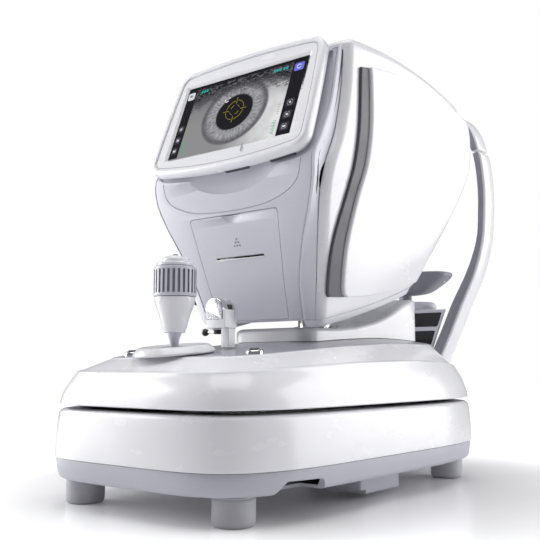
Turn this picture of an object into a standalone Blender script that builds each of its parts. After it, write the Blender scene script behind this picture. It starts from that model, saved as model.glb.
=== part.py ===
"""Autorefractor: a fixed base with a face support, and a joystick-driven stage that carries the measuring head.

Metres, +Z up. The operator sits at -Y and the patient at +Y; +X is to the operator's right.
Run with: blender --background --python part.py
"""

import math

import bmesh
import bpy
from mathutils import Matrix, Vector

# ---- driving dimensions ----
GAP = 0.0004  # clearance between neighbouring pieces
WALL = 0.0026  # moulded wall
REAR_MOST = 0.300  # chin rest's patient-side lip, from the base's plan centre
CENTRE_SHIFT = -0.0383  # puts the middle of the whole object over the origin
BASE_HALF_WIDTH, BASE_HALF_DEPTH = 0.135, 0.2235
BASE_SQUARENESS = 4.7

TRAY_BOTTOM, TRAY_TOP = 0.0237, 0.0423
SHELL_BOTTOM, SHELL_TOP = 0.0427, 0.0859
FOOT_RADIUS, FOOT_X, FOOT_Y = 0.0175, 0.0904, 0.182

SKIRT_BOTTOM = 0.0893
DECK_HALF_WIDTH, DECK_FRONT, DECK_REAR = 0.0973, -0.1795, 0.1875
RIDGE_INSET = 0.0155
RIDGE_HEIGHTS = ((-0.21, 0.1185), (-0.1, 0.1240), (0.0, 0.1285), (0.1, 0.1285), (0.21, 0.1235))
DECK_HEIGHTS = ((-0.18, 0.1295), (-0.1, 0.1370), (0.0, 0.1440), (0.07, 0.1465), (0.12, 0.1465), (0.19, 0.1435))
DECK_CROWNS = ((-0.18, 0.0020), (-0.1, 0.0030), (-0.04, 0.0055), (0.01, 0.0065), (0.12, 0.0105), (0.19, 0.0120))

COLUMN_Y, COLUMN_RADIUS, GUIDE_BORE, GUIDE_RADIUS = 0.055, 0.0185, 0.0200, 0.0250
TURRET_HALF_WIDTH, TURRET_FRONT, TURRET_REAR = 0.052, -0.028, 0.195
TURRET_TOPS = ((-0.03, 0.1620), (0.02, 0.1621), (0.05, 0.1641), (0.075, 0.1676), (0.105, 0.1734), (0.135, 0.1832),
               (0.16, 0.1940), (0.181, 0.2014), (0.195, 0.2035))

# Head casing stations, bottom to top: front height and Y, rear height and Y, half width, arch
HEAD = (
    (0.1672, -0.0432, 0.2172, 0.150, 0.0790, -0.0035),
    (0.2050, -0.0545, 0.2400, 0.163, 0.0890, -0.003),
    (0.2450, -0.0665, 0.2720, 0.183, 0.0990, 0.0),
    (0.2850, -0.0735, 0.3050, 0.203, 0.1070, 0.0),
    (0.3120, -0.0700, 0.3300, 0.2115, 0.1110, 0.0),
    (0.3425, -0.0570, 0.3540, 0.2145, 0.1125, 0.002),
    (0.3840, -0.0460, 0.3850, 0.2145, 0.1125, 0.006),
    (0.4180, -0.0415, 0.4070, 0.2135, 0.1120, 0.010),
    (0.4340, -0.0400, 0.4190, 0.2110, 0.1110, 0.012),
    (0.4385, -0.0370, 0.4235, 0.2070, 0.1080, 0.012),
)
# Front cover seam, bottom to top: height, Y, half width
SEAM = (
    (0.1678, -0.0499, 0.0634),
    (0.2016, -0.0626, 0.0685),
    (0.2400, -0.0748, 0.0814),
    (0.2680, -0.0832, 0.0940),
    (0.2940, -0.0893, 0.1028),
    (0.3150, -0.0903, 0.1045),
    (0.3300, -0.0820, 0.1052),
    (0.3670, -0.0640, 0.1052),
    (0.4070, -0.0530, 0.1050),
    (0.4310, -0.0470, 0.1045),
)
COVER_THICKNESS = 0.0055
MOUTH_LIP = 0.0082  # how far the casing's front rim turns in on each side
# Raised side panel rows: front height and Y, rear height and Y, arch
PANEL = (
    (0.1900, -0.0150, 0.2160, 0.126, -0.004),
    (0.1960, -0.0240, 0.2220, 0.129, -0.004),
    (0.2230, -0.0315, 0.2400, 0.136, -0.002),
    (0.2500, -0.0330, 0.2650, 0.150, 0.0),
    (0.2870, -0.0275, 0.2950, 0.170, 0.0),
    (0.3160, -0.0187, 0.3250, 0.189, 0.002),
    (0.3550, -0.0120, 0.3560, 0.206, 0.006),
    (0.4000, -0.0105, 0.3880, 0.2100, 0.010),
    (0.4150, -0.0115, 0.4100, 0.2060, 0.012),
)
# Front edge of the accent strip at the same rows
STRIP_FRONT = (-0.044, -0.0480, -0.0535, -0.0530, -0.0440, -0.0370, -0.0300, -0.0265, -0.0250)
PANEL_PROUD, STRIP_PROUD = 0.0060, 0.0022

DOOR_TOP, DOOR_BOTTOM = 0.2712, 0.1694
DOOR_HALF_TOP, DOOR_HALF_BOTTOM = 0.0574, 0.0440
DOOR_HINGE = (0.0, -0.0470, 0.1723)
ROLL_CENTRE, ROLL_RADIUS, ROLL_HALF_LENGTH = (0.0, -0.0130, 0.2250), 0.0200, 0.0285

SCREEN_CENTRE, SCREEN_LEAN = Vector((0, -0.0806, 0.3796)), math.radians(20.8)
SCREEN_HALF_WIDTH, SCREEN_HALF_HEIGHT = 0.0797, 0.0455
DISPLAY_HALF_WIDTH, DISPLAY_HALF_HEIGHT, DISPLAY_CORNER = 0.0985, 0.0610, 0.0150
BEZEL_DEPTH, DISPLAY_DEPTH = 0.0100, 0.0150

STICK_Y, STICK_PIVOT = -0.160, 0.1365
RING_BOTTOM, RING_TOP, RING_RADIUS = 0.1850, 0.2120, 0.0192
BUTTON_X, BUTTON_Y = 0.0766, -0.1405
CLAMP = Vector((0.0075, -0.105, 0.1545))

# Face support: outer edge of the frame as (half width, height), from the foot to the crown
FRAME = (
    (0.0470, 0.1000), (0.0560, 0.1300), (0.0725, 0.1650), (0.0855, 0.1940), (0.1050, 0.2350),
    (0.1165, 0.2740), (0.1200, 0.3100), (0.1205, 0.3400), (0.1180, 0.3700), (0.1140, 0.3880),
    (0.1070, 0.4100), (0.0960, 0.4270), (0.0800, 0.4370), (0.0550, 0.4420), (0.0250, 0.4435), (0.0, 0.4440),
)
SEAM_POINT = 9  # the post ends and the forehead bar begins at this point of the frame
FRAME_FRONT, FRAME_REAR, LINING_DEPTH = 0.2385, 0.2700, 0.0030
PEDESTAL_TOP = 0.1945
CHIN_Y, CHIN_COLUMN_RADIUS = 0.2575, 0.0080

COLOURS = {
    "white": ((0.86, 0.86, 0.88), 0.22, 0.0),
    "grey": ((0.58, 0.58, 0.61), 0.38, 0.0),
    "light_grey": ((0.70, 0.70, 0.73), 0.35, 0.0),
    "mid_grey": ((0.22, 0.22, 0.24), 0.45, 0.0),
    "dark": ((0.06, 0.06, 0.07), 0.45, 0.0),
    "black_gloss": ((0.012, 0.012, 0.014), 0.08, 0.0),
    "rubber": ((0.42, 0.42, 0.45), 0.6, 0.0),
    "steel": ((0.62, 0.62, 0.64), 0.25, 1.0),
    "paper": ((0.9, 0.9, 0.88), 0.8, 0.0),
    "board": ((0.02, 0.16, 0.07), 0.5, 0.0),
}


# ---- helpers ----
def clear_scene():
    for obj in list(bpy.data.objects):
        bpy.data.objects.remove(obj, do_unlink=True)


def make_materials():
    made = {}
    for name, (colour, roughness, metallic) in COLOURS.items():
        material = bpy.data.materials.new(name)
        material.use_nodes = True
        shader = material.node_tree.nodes["Principled BSDF"]
        shader.inputs["Base Color"].default_value = (*colour, 1)
        shader.inputs["Roughness"].default_value = roughness
        shader.inputs["Metallic"].default_value = metallic
        made[name] = material
    return made


def along(points, value):
    """Reads a curve given as (position, height) pairs, straight between its points and flat beyond them."""
    if value <= points[0][0]:
        return points[0][1]
    for (a, low), (b, high) in zip(points, points[1:]):
        if value <= b:
            return low + (high - low) * (value - a) / (b - a)
    return points[-1][1]


def place(name, bm, material, origin=(0, 0, 0), smooth=35):
    """Turns a bmesh in the base's frame into an object whose origin is at the given point."""
    bmesh.ops.recalc_face_normals(bm, faces=bm.faces)
    mesh = bpy.data.meshes.new(name)
    bmesh.ops.translate(bm, vec=-Vector(origin), verts=bm.verts)
    bm.to_mesh(mesh)
    bm.free()
    mesh.shade_smooth()
    mesh.set_sharp_from_angle(angle=math.radians(smooth))
    obj = bpy.data.objects.new(name, mesh)
    if material:
        obj.data.materials.append(MATERIALS[material])
    bpy.context.scene.collection.objects.link(obj)
    obj.parent = ASSEMBLY
    obj.location = origin
    return obj


def loft_mesh(rings):
    """Skins closed rings. Point i of a ring mirrors point N-1-i, so each end closes with strips across X."""
    bm = bmesh.new()
    loops = [[bm.verts.new(point) for point in ring] for ring in rings]
    count = len(rings[0])
    for low, high in zip(loops, loops[1:]):
        for i in range(count):
            j = (i + 1) % count
            bm.faces.new((low[i], low[j], high[j], high[i]))
    for loop in (loops[0], loops[-1]):
        for i in range(count // 2 - 1):
            bm.faces.new((loop[i], loop[i + 1], loop[count - 2 - i], loop[count - 1 - i]))
    return bm


def loft(name, rings, material, origin=(0, 0, 0), smooth=35):
    return place(name, loft_mesh(rings), material, origin, smooth)


def cut(obj, cutter, operation="DIFFERENCE"):
    """Cuts obj with a helper object, or joins the helper to it."""
    cutter.hide_render = True
    cutter.display_type = "WIRE"
    modifier = obj.modifiers.new(cutter.name, "BOOLEAN")
    modifier.operation = operation
    modifier.object = cutter
    return obj


def bevel(obj, width, segments=2, angle=40):
    modifier = obj.modifiers.new("edges", "BEVEL")
    modifier.width = width
    modifier.segments = segments
    modifier.limit_method = "ANGLE"
    modifier.angle_limit = math.radians(angle)
    return obj


def oval_ring(inset, height, squareness=BASE_SQUARENESS, count=44):
    """A superellipse in plan, inset from the base's outline. height is a number or a function of (x, y)."""
    return free_oval(
        BASE_HALF_WIDTH - inset, -BASE_HALF_DEPTH + inset, BASE_HALF_DEPTH - inset, height, squareness, count
    )


def free_oval(half_width, front, rear, height, squareness=BASE_SQUARENESS, count=44):
    ring = []
    for i in range(count):
        angle = -math.pi / 2 + (i + 0.5) * 2 * math.pi / count
        c, s = math.cos(angle), math.sin(angle)
        x = half_width * math.copysign(abs(c) ** (2 / squareness), c)
        y = (front + rear) / 2 + (rear - front) / 2 * math.copysign(abs(s) ** (2 / squareness), s)
        ring.append(Vector((x, y, height(x, y) if callable(height) else height)))
    return ring


def round_ring(half_width, front, rear, front_radius, rear_radius, height, steps=4, side=4):
    """A rectangle in plan with rounded corners and a few points along each side."""
    right = []
    for centre_y, radius, start in ((front + front_radius, front_radius, -90), (rear - rear_radius, rear_radius, 0)):
        for i in range(steps + 1):
            angle = math.radians(start + 90 * i / steps)
            right.append((half_width - radius + radius * math.cos(angle), centre_y + radius * math.sin(angle)))
        if start < 0:
            low, high = front + front_radius, rear - rear_radius
            right += [(half_width, low + (high - low) * i / (side + 1)) for i in range(1, side + 1)]
    outline = right + [(-x, y) for x, y in reversed(right)]
    return [Vector((x, y, height(x, y) if callable(height) else height)) for x, y in outline]


def box(name, low, high, material=None, edge=0, origin=(0, 0, 0)):
    bm = bmesh.new()
    bmesh.ops.create_cube(bm, size=1)
    for vert in bm.verts:
        vert.co = Vector(low[k] if vert.co[k] < 0 else high[k] for k in range(3))
    obj = place(name, bm, material, origin)
    return bevel(obj, edge) if edge else obj


def turned(name, profile, centre, material=None, segments=32, axis="Z", origin=None):
    """Turns (radius, height) points, which run from the axis to the axis, about an axis through centre."""
    bm = bmesh.new()
    rows = []
    for radius, height in profile:
        if radius < 1e-6:
            rows.append([bm.verts.new((0, 0, height))])
        else:
            turn = [2 * math.pi * k / segments for k in range(segments)]
            rows.append([bm.verts.new((radius * math.cos(a), radius * math.sin(a), height)) for a in turn])
    for low, high in zip(rows, rows[1:] + rows[:1]):
        if len(low) == len(high) == 1:
            continue
        for k in range(segments):
            m = (k + 1) % segments
            corners = (low[k % len(low)], low[m % len(low)], high[m % len(high)], high[k % len(high)])
            bm.faces.new(list(dict.fromkeys(corners)))
    turn = {"Z": Matrix(), "X": Matrix.Rotation(math.pi / 2, 4, "Y"), "Y": Matrix.Rotation(-math.pi / 2, 4, "X")}
    bmesh.ops.transform(bm, matrix=Matrix.Translation(centre) @ turn[axis], verts=bm.verts)
    return place(name, bm, material, centre if origin is None else origin)


def rod(name, centre, radius, low, high, material=None, segments=24, axis="Z", chamfer=0.0, origin=None):
    profile = [(0, low), (radius - chamfer, low)]
    if chamfer:
        profile += [(radius, low + chamfer), (radius, high - chamfer)]
    profile += [(radius - chamfer, high), (0, high)]
    if not chamfer:
        profile = [(0, low), (radius, low), (radius, high), (0, high)]
    return turned(name, profile, centre, material, segments, axis, origin)


def prism(name, outline, near, far, material=None, edge=0):
    """An outline in (x, z), front view, made solid from near to far along Y."""
    bm = bmesh.new()
    front = [bm.verts.new((x, near, z)) for x, z in outline]
    back = [bm.verts.new((x, far, z)) for x, z in outline]
    bm.faces.new(front)
    bm.faces.new(back[::-1])
    for i in range(len(outline)):
        j = (i + 1) % len(outline)
        bm.faces.new((front[i], front[j], back[j], back[i]))
    obj = place(name, bm, material)
    return bevel(obj, edge) if edge else obj


def mirrored_outline(right):
    return list(right) + [(-x, z) for x, z in reversed(right)]


# ---- base ----
def base_shells():
    tray = loft("base_tray", [
        oval_ring(0.0075, TRAY_BOTTOM), oval_ring(0.0030, TRAY_BOTTOM + 0.0030),
        oval_ring(0.0022, TRAY_BOTTOM + 0.0060), oval_ring(0.0004, TRAY_TOP),
    ], "grey")
    cut(tray, loft("tray_hollow", [oval_ring(0.0085, TRAY_BOTTOM + WALL), oval_ring(0.0035, TRAY_TOP + 0.01)], None))
    cut(tray, box("tray_grip_notch", (0.104, -0.160, 0.01), (0.140, -0.112, 0.0335)))
    shell = loft("base_lower_shell", [
        oval_ring(0.0004, SHELL_BOTTOM), oval_ring(0.0, SHELL_BOTTOM + 0.0012), oval_ring(0.0007, 0.064),
        oval_ring(0.0022, SHELL_TOP - 0.0045), oval_ring(0.0050, SHELL_TOP - 0.0010), oval_ring(0.0090, SHELL_TOP),
    ], "white")
    cut(shell, loft("shell_hollow", [oval_ring(0.0035, 0.03), oval_ring(0.0050, 0.0815)], None))
    cut(shell, loft("shell_mouth", [oval_ring(0.0180, 0.07), oval_ring(0.0180, 0.10)], None))
    cut(shell, box("inlet_hole", (-0.099, 0.18, 0.0525), (-0.071, 0.24, 0.0735)))
    cut(shell, box("switch_hole", (-0.14, 0.112, 0.0560), (-0.12, 0.136, 0.0700)))
    cut(tray, box("underside_box", (0.045, -0.021, 0.0048), (0.105, 0.050, TRAY_BOTTOM + 0.001), None, 0.0015), "UNION")
    loft("base_deck_plate", [oval_ring(0.0062, 0.0745), oval_ring(0.0062, 0.0775)], "dark")


def feet():
    for side, sx in (("left", -1), ("right", 1)):
        for end, sy in (("front", -1), ("rear", 1)):
            profile = [(0, 0), (FOOT_RADIUS - 0.0030, 0), (FOOT_RADIUS - 0.0008, 0.0016), (FOOT_RADIUS, 0.0045),
                       (FOOT_RADIUS, TRAY_BOTTOM - GAP), (0, TRAY_BOTTOM - GAP)]
            turned(f"foot_{end}_{side}", profile, (sx * FOOT_X, sy * FOOT_Y, 0), "rubber", 24)


def electrics():
    inlet = box("mains_inlet", (-0.0985, 0.197, 0.0530), (-0.0715, 0.2170, 0.0730), "dark", 0.0008)
    cut(inlet, box("inlet_socket", (-0.0945, 0.2010, 0.0568), (-0.0755, 0.2300, 0.0692)))
    box("power_supply", (-0.055, -0.06, 0.0275), (0.055, 0.09, 0.0600), "steel", 0.001)
    rocker = box("power_switch", (-0.1345, 0.1135, 0.0575), (-0.1260, 0.1345, 0.0685), "dark", 0.0008,
                 (-0.1290, 0.1240, 0.0630))
    return rocker


def x_slide_parts():
    frame = box("x_rail_frame", (-0.112, -0.075, 0.0779), (0.112, 0.075, 0.0853), "steel")
    cut(frame, box("rail_frame_middle", (-0.104, -0.068, 0.07), (0.104, 0.068, 0.09)))
    slide = box("cross_slide", (-0.058, -0.100, 0.0858), (0.058, 0.100, 0.0884), "steel")
    for side, x in (("left", -0.045), ("right", 0.045)):
        cut(slide, box(f"y_rail_{side}", (x - 0.006, -0.095, 0.0870), (x + 0.006, 0.095, 0.0944)), "UNION")


# ---- face support ----
def inward(points, thickness):
    """Moves an open outline towards the frame's inside by a thickness that may vary along it."""
    moved = []
    for i, (x, z) in enumerate(points):
        before, after = points[max(i - 1, 0)], points[min(i + 1, len(points) - 1)]
        run = Vector((after[0] - before[0], after[1] - before[1])).normalized()
        moved.append((x - run.y * thickness(i), z + run.x * thickness(i)))
    return moved


def frame_thickness(i):
    return along(((0, 0.0150), (3, 0.0140), (5, 0.0095), (9, 0.0100), (12, 0.0180), (15, 0.0340)), i)


def frame_strip(name, points, near, far, side, material, start, trim=0.0, edge=0.0020):
    """A strip of the face support's frame between its outer edge and its inner edge."""
    inner = inward(points, lambda i: frame_thickness(start + i) - trim)
    outer = inward(points, lambda i: trim)
    outline = [(side * x, z) for x, z in outer + inner[::-1]]
    bm = bmesh.new()
    count = len(points)
    rows = [[bm.verts.new((x, y, z)) for x, z in outline] for y in (near, far)]
    for row in rows:
        for i in range(count - 1):
            bm.faces.new((row[i], row[i + 1], row[2 * count - 2 - i], row[2 * count - 1 - i]))
    for i in range(2 * count):
        j = (i + 1) % (2 * count)
        bm.faces.new((rows[0][i], rows[0][j], rows[1][j], rows[1][i]))
    return bevel(place(name, bm, material), edge, 2, 50)


def whole_bar(points):
    """The forehead bar's outer edge, from the right seam over the crown to the left seam."""
    return list(points) + [(-x, z) for x, z in reversed(points[:-1])]


def bar_thickness(i, last):
    return frame_thickness(SEAM_POINT + min(i, 2 * last - i))


def forehead_strip(name, near, far, material, trim, edge):
    points = whole_bar(FRAME[SEAM_POINT:])
    last = len(FRAME) - 1 - SEAM_POINT
    inner = inward(points, lambda i: bar_thickness(i, last) - trim)
    outer = inward(points, lambda i: trim)
    bm = bmesh.new()
    rows = [[bm.verts.new((x, y, z)) for x, z in outer + inner[::-1]] for y in (near, far)]
    count = len(points)
    for row in rows:
        for i in range(count - 1):
            bm.faces.new((row[i], row[i + 1], row[2 * count - 2 - i], row[2 * count - 1 - i]))
    for i in range(2 * count):
        j = (i + 1) % (2 * count)
        bm.faces.new((rows[0][i], rows[0][j], rows[1][j], rows[1][i]))
    return bevel(place(name, bm, material), edge, 2, 50)


def face_frame():
    shorter = [(x, z) for x, z in FRAME[:SEAM_POINT]]
    x, z = FRAME[SEAM_POINT]
    bx, bz = FRAME[SEAM_POINT - 1]
    post = shorter + [(x + (bx - x) * 0.04, z + (bz - z) * 0.04)]
    for side, sign in (("left", -1), ("right", 1)):
        frame_strip(f"face_post_{side}", post, FRAME_FRONT + LINING_DEPTH + GAP, FRAME_REAR, sign, "white", 0)
        frame_strip(f"post_lining_{side}", post[1:], FRAME_FRONT, FRAME_FRONT + LINING_DEPTH, sign, "mid_grey", 1,
                    0.0012, 0.0008)
    forehead_strip("forehead_bar", FRAME_FRONT + LINING_DEPTH + GAP, FRAME_REAR, "white", 0.0, 0.0020)
    forehead_strip("forehead_lining", FRAME_FRONT, FRAME_FRONT + LINING_DEPTH, "mid_grey", 0.0012, 0.0008)
    pad = box("forehead_pad", (-0.048, FRAME_REAR + GAP, 0.4120), (0.048, FRAME_REAR + 0.0130, 0.4380), "light_grey")
    bevel(pad, 0.005, 3)


def pedestal():
    inner = inward(FRAME[:4], frame_thickness)
    slope = [(x - GAP, z) for x, z in inner if z > 0.101 and z < 0.1935]
    right = [(0.0, 0.028), (0.0640, 0.028), (0.0640, 0.0990), (0.0300, 0.0990), *slope, (0.0690, PEDESTAL_TOP),
             (0.0, PEDESTAL_TOP)]
    outline = mirrored_outline(right[1:-1])
    body = prism("support_pedestal", outline, FRAME_FRONT + LINING_DEPTH + 0.0012, FRAME_REAR, "light_grey")
    cut(body, box("pedestal_foot", (-0.0600, BASE_HALF_DEPTH + 0.0006, 0.0285), (0.0600, 0.262, 0.0850)), "UNION")
    cut(body, rod("column_bore", (0, CHIN_Y, 0), CHIN_COLUMN_RADIUS + 0.0005, 0.112, 0.21))
    near, far = FRAME_FRONT - 0.0002, FRAME_FRONT + 0.0022
    cover = mirrored_outline([(0.0458, 0.1430), (0.0476, 0.1480), (0.0562, 0.1700), (0.0655, 0.1930)])
    plate = prism("pedestal_cover", cover, near, far, "light_grey")
    cut(plate, prism("upper_window", mirrored_outline([(0.0535, 0.1715), (0.0610, 0.1890)]), near - 0.01, far + 0.01))
    cut(plate, prism("lower_window", mirrored_outline([(0.0448, 0.1480), (0.0510, 0.1675)]), near - 0.01, far + 0.01))
    bevel(plate, 0.0005, 1)
    prism("pedestal_window", mirrored_outline([(0.0455, 0.1440), (0.0635, 0.1925)]), far + GAP, far + 0.0015,
          "black_gloss")


def chin_rest():
    collar = turned("chin_column_collar", [
        (CHIN_COLUMN_RADIUS + 0.0005, PEDESTAL_TOP + GAP), (0.0400, PEDESTAL_TOP + GAP), (0.0420, PEDESTAL_TOP + 0.0030),
        (0.0405, PEDESTAL_TOP + 0.0078), (0.0360, PEDESTAL_TOP + 0.0100), (CHIN_COLUMN_RADIUS + 0.0005, PEDESTAL_TOP + 0.0100),
    ], (0, CHIN_Y, 0), "light_grey", 36)
    for vert in collar.data.vertices:
        if math.hypot(vert.co.x, vert.co.y) > 0.02:
            vert.co.y *= 0.62
    rings = [
        (0.0220, CHIN_Y - 0.009, 0.2740, 0.2150), (0.0330, CHIN_Y - 0.014, 0.2840, 0.2185),
        (0.0480, 0.2400, 0.2940, 0.2290), (0.0560, 0.2387, 0.2985, 0.2362), (0.0575, 0.2382, REAR_MOST, 0.2402),
        (0.0565, 0.2390, 0.2990, 0.2425), (0.0530, 0.2420, 0.2960, 0.2425), (0.0440, 0.2470, 0.2900, 0.2350),
        (0.0250, 0.2540, 0.2820, 0.2325),
    ]
    cup = loft("chin_rest", [free_oval(w, front, rear, z, 2.6, 32) for w, front, rear, z in rings], "mid_grey")
    cut(cup, rod("chin_column", (0, CHIN_Y, 0), CHIN_COLUMN_RADIUS, 0.1150, 0.2200, None, 20), "UNION")


# ---- stage ----
def ridge(x, y):
    return along(RIDGE_HEIGHTS, y)


def deck(x, y):
    return along(DECK_HEIGHTS, y) + along(DECK_CROWNS, y) * max(0.0, 1 - (x / DECK_HALF_WIDTH) ** 2)


def deck_ring(inset, lift):
    return free_oval(DECK_HALF_WIDTH - inset, DECK_FRONT + inset, DECK_REAR - inset,
                     lambda x, y: deck(x, y) + lift, BASE_SQUARENESS)


def stage_skin():
    skirt = loft("stage_skirt", [
        oval_ring(0.0034, SKIRT_BOTTOM), oval_ring(0.0026, SKIRT_BOTTOM + 0.0012),
        oval_ring(0.0050, lambda x, y: 0.55 * SKIRT_BOTTOM + 0.45 * ridge(x, y)),
        oval_ring(RIDGE_INSET - 0.0022, lambda x, y: ridge(x, y) - 0.0028),
        oval_ring(RIDGE_INSET, ridge), oval_ring(RIDGE_INSET + 0.0035, lambda x, y: ridge(x, y) + 0.0012),
        deck_ring(-0.0030, -0.0012), deck_ring(0.0, 0.0),
    ], "white")
    cut(skirt, loft("skirt_hollow", [
        oval_ring(0.0065, 0.08), oval_ring(0.0090, 0.1010),
        oval_ring(RIDGE_INSET + 0.0040, lambda x, y: ridge(x, y) - 0.0045), deck_ring(0.0010, -0.0045),
    ], None))
    cut(skirt, loft("deck_opening", [deck_ring(0.0030, -0.02), deck_ring(0.0030, 0.02)], None))
    under = [deck_ring(inset, -0.0036) for inset in (0.070, 0.045, 0.020, 0.0036)]
    over = [deck_ring(inset, -0.0002) for inset in (0.0045, 0.020, 0.045, 0.070)]
    plate = loft("stage_deck", under + [deck_ring(0.0034, -0.0012)] + over, "mid_grey")
    cut(plate, rod("stick_hole", (0, STICK_Y, 0), 0.0130, 0.10, 0.16))
    cut(plate, rod("guide_hole", (0, COLUMN_Y, 0), GUIDE_RADIUS + 0.001, 0.10, 0.16))
    for side, x in (("left", -BUTTON_X), ("right", BUTTON_X)):
        cut(plate, rod(f"button_hole_{side}", (x, BUTTON_Y, 0), 0.0050, 0.10, 0.16))
    box("stage_chassis", (-0.085, -0.190, 0.0948), (0.085, 0.190, 0.0980), "steel", 0.0006)
    deck_buttons(plate)


def deck_buttons(plate):
    for side, x in (("left", -BUTTON_X), ("right", BUTTON_X)):
        top = deck(x, BUTTON_Y)
        rim = [(0.0050, top - 0.0022), (0.0076, top - 0.0022), (0.0076, top + 0.0026), (0.0066, top + 0.0034),
               (0.0050, top + 0.0034)]
        cut(plate, turned(f"button_rim_{side}", rim, (x, BUTTON_Y, 0), None, 28), "UNION")
        cap = [(0, top - 0.0030), (0.0044, top - 0.0030), (0.0044, top + 0.0044), (0.0036, top + 0.0050),
               (0, top + 0.0052)]
        turned(f"deck_button_{side}", cap, (x, BUTTON_Y, 0), "black_gloss", 24)


def turret_and_column():
    def top(lift):
        return lambda x, y: along(TURRET_TOPS, y) + lift

    def ring(inset, height):
        return round_ring(TURRET_HALF_WIDTH - inset, TURRET_FRONT + inset, TURRET_REAR - inset, 0.0180, 0.0120,
                          height, 5, 7)

    turret = loft("turret_shell", [
        ring(0.0, lambda x, y: deck(x, y) + 0.0012), ring(0.0, top(-0.0030)), ring(0.0009, top(-0.0009)), ring(0.0030, top(0.0)),
    ], "white")
    cut(turret, loft("turret_hollow", [ring(WALL, 0.12), ring(WALL, top(-WALL - 0.001))], None))
    cut(turret, rod("turret_hole", (0, COLUMN_Y, 0), GUIDE_BORE, 0.12, 0.22, segments=32))
    guide = [(GUIDE_BORE - 0.001, 0.0984), (GUIDE_RADIUS, 0.0984), (GUIDE_RADIUS, 0.1570), (GUIDE_BORE - 0.001, 0.1570)]
    turned("lift_guide", guide, (0, COLUMN_Y, 0), "steel", 32)
    rod("lift_column", (0, COLUMN_Y, 0), COLUMN_RADIUS, 0.1040, 0.2185, "steel", 32)


def lock_clamp():
    """A block on a stalk between the joystick and the turret, with a ball-ended lever under it."""
    x, y, z = CLAMP
    top = z + 0.0330
    block = box("lock_bracket", (x - 0.0130, y - 0.0105, z + 0.0035), (x + 0.0130, y + 0.0085, top - 0.004), "white")
    crown = rod("bracket_crown", (x, y + 0.0050, top - 0.0135), 0.0126, -0.0032, 0.0032, None, 24, "Y")
    cut(block, crown, "UNION")
    stalk = box("bracket_stalk", (x + 0.0010, y - 0.0035, deck(x, y + 0.007) + GAP), (x + 0.0110, y + 0.0070, z + 0.0060))
    cut(block, stalk, "UNION")
    hub = rod("lock_lever", (x - 0.0050, y, z), 0.0045, -0.0010, 0.0030, "dark", 16, origin=(x - 0.0050, y, z))
    cut(hub, rod("lever_rod", (x - 0.0050, y, z + 0.0010), 0.0011, -0.0150, 0.0, None, 12, "X"), "UNION")
    ball = [(0.0036 * math.sin(math.pi * k / 8), -0.0036 * math.cos(math.pi * k / 8)) for k in range(9)]
    cut(hub, turned("lever_ball", ball, (x - 0.0215, y, z + 0.0010), None, 16), "UNION")


# ---- joystick ----
def joystick():
    centre = (0, STICK_Y, 0)
    boot = [(0.0160, 0.0010), (0.0355, 0.0010), (0.0365, 0.0028), (0.0325, 0.0070), (0.0290, 0.0080), (0.0240, 0.0074),
            (0.0160, 0.0056)]
    seat = turned("joystick_boot", boot, (0, STICK_Y, deck(0, STICK_Y)), "light_grey", 40)
    seat.rotation_euler.x = math.atan2(deck(0, STICK_Y + 0.03) - deck(0, STICK_Y - 0.02), 0.05)
    pivot = (0, STICK_Y, STICK_PIVOT)
    yoke = [(0.0068, STICK_PIVOT - 0.0110), (0.0098, STICK_PIVOT - 0.0110), (0.0098, STICK_PIVOT - 0.0060),
            (0.0068, STICK_PIVOT - 0.0060)]
    turned("joystick_yoke", yoke, centre, "steel", 24, origin=pivot)
    shaft = [(0, STICK_PIVOT - 0.0140), (0.0045, STICK_PIVOT - 0.0140), (0.0045, STICK_PIVOT - 0.0040), (0.0048, 0.1440),
             (0.0062, 0.1525), (0.0062, 0.1850), (0.0060, RING_TOP + 0.0006), (0.0160, RING_TOP + 0.0006),
             (0.0154, RING_TOP + 0.0030), (0.0120, RING_TOP + 0.0068), (0.0075, RING_TOP + 0.0090),
             (0.0028, RING_TOP + 0.0096), (0.0028, RING_TOP + 0.0040), (0, RING_TOP + 0.0040)]
    turned("joystick_shaft", shaft, centre, "light_grey", 32, origin=pivot)
    grip = [(0.0066, 0.1532), (0.0093, 0.1532), (0.0100, 0.1550), (0.0140, 0.1690), (0.0172, 0.1780), (0.0182, 0.1820),
            (0.0184, RING_BOTTOM - GAP), (0.0066, RING_BOTTOM - GAP)]
    turned("joystick_grip", grip, centre, "white", 36, origin=pivot)
    ribbed_ring(centre)
    button = [(0, RING_TOP + 0.0062), (0.0024, RING_TOP + 0.0062), (0.0024, RING_TOP + 0.0106), (0.0015, RING_TOP + 0.0114),
              (0, RING_TOP + 0.0116)]
    turned("joystick_button", button, centre, "dark", 16, origin=pivot)


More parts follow.
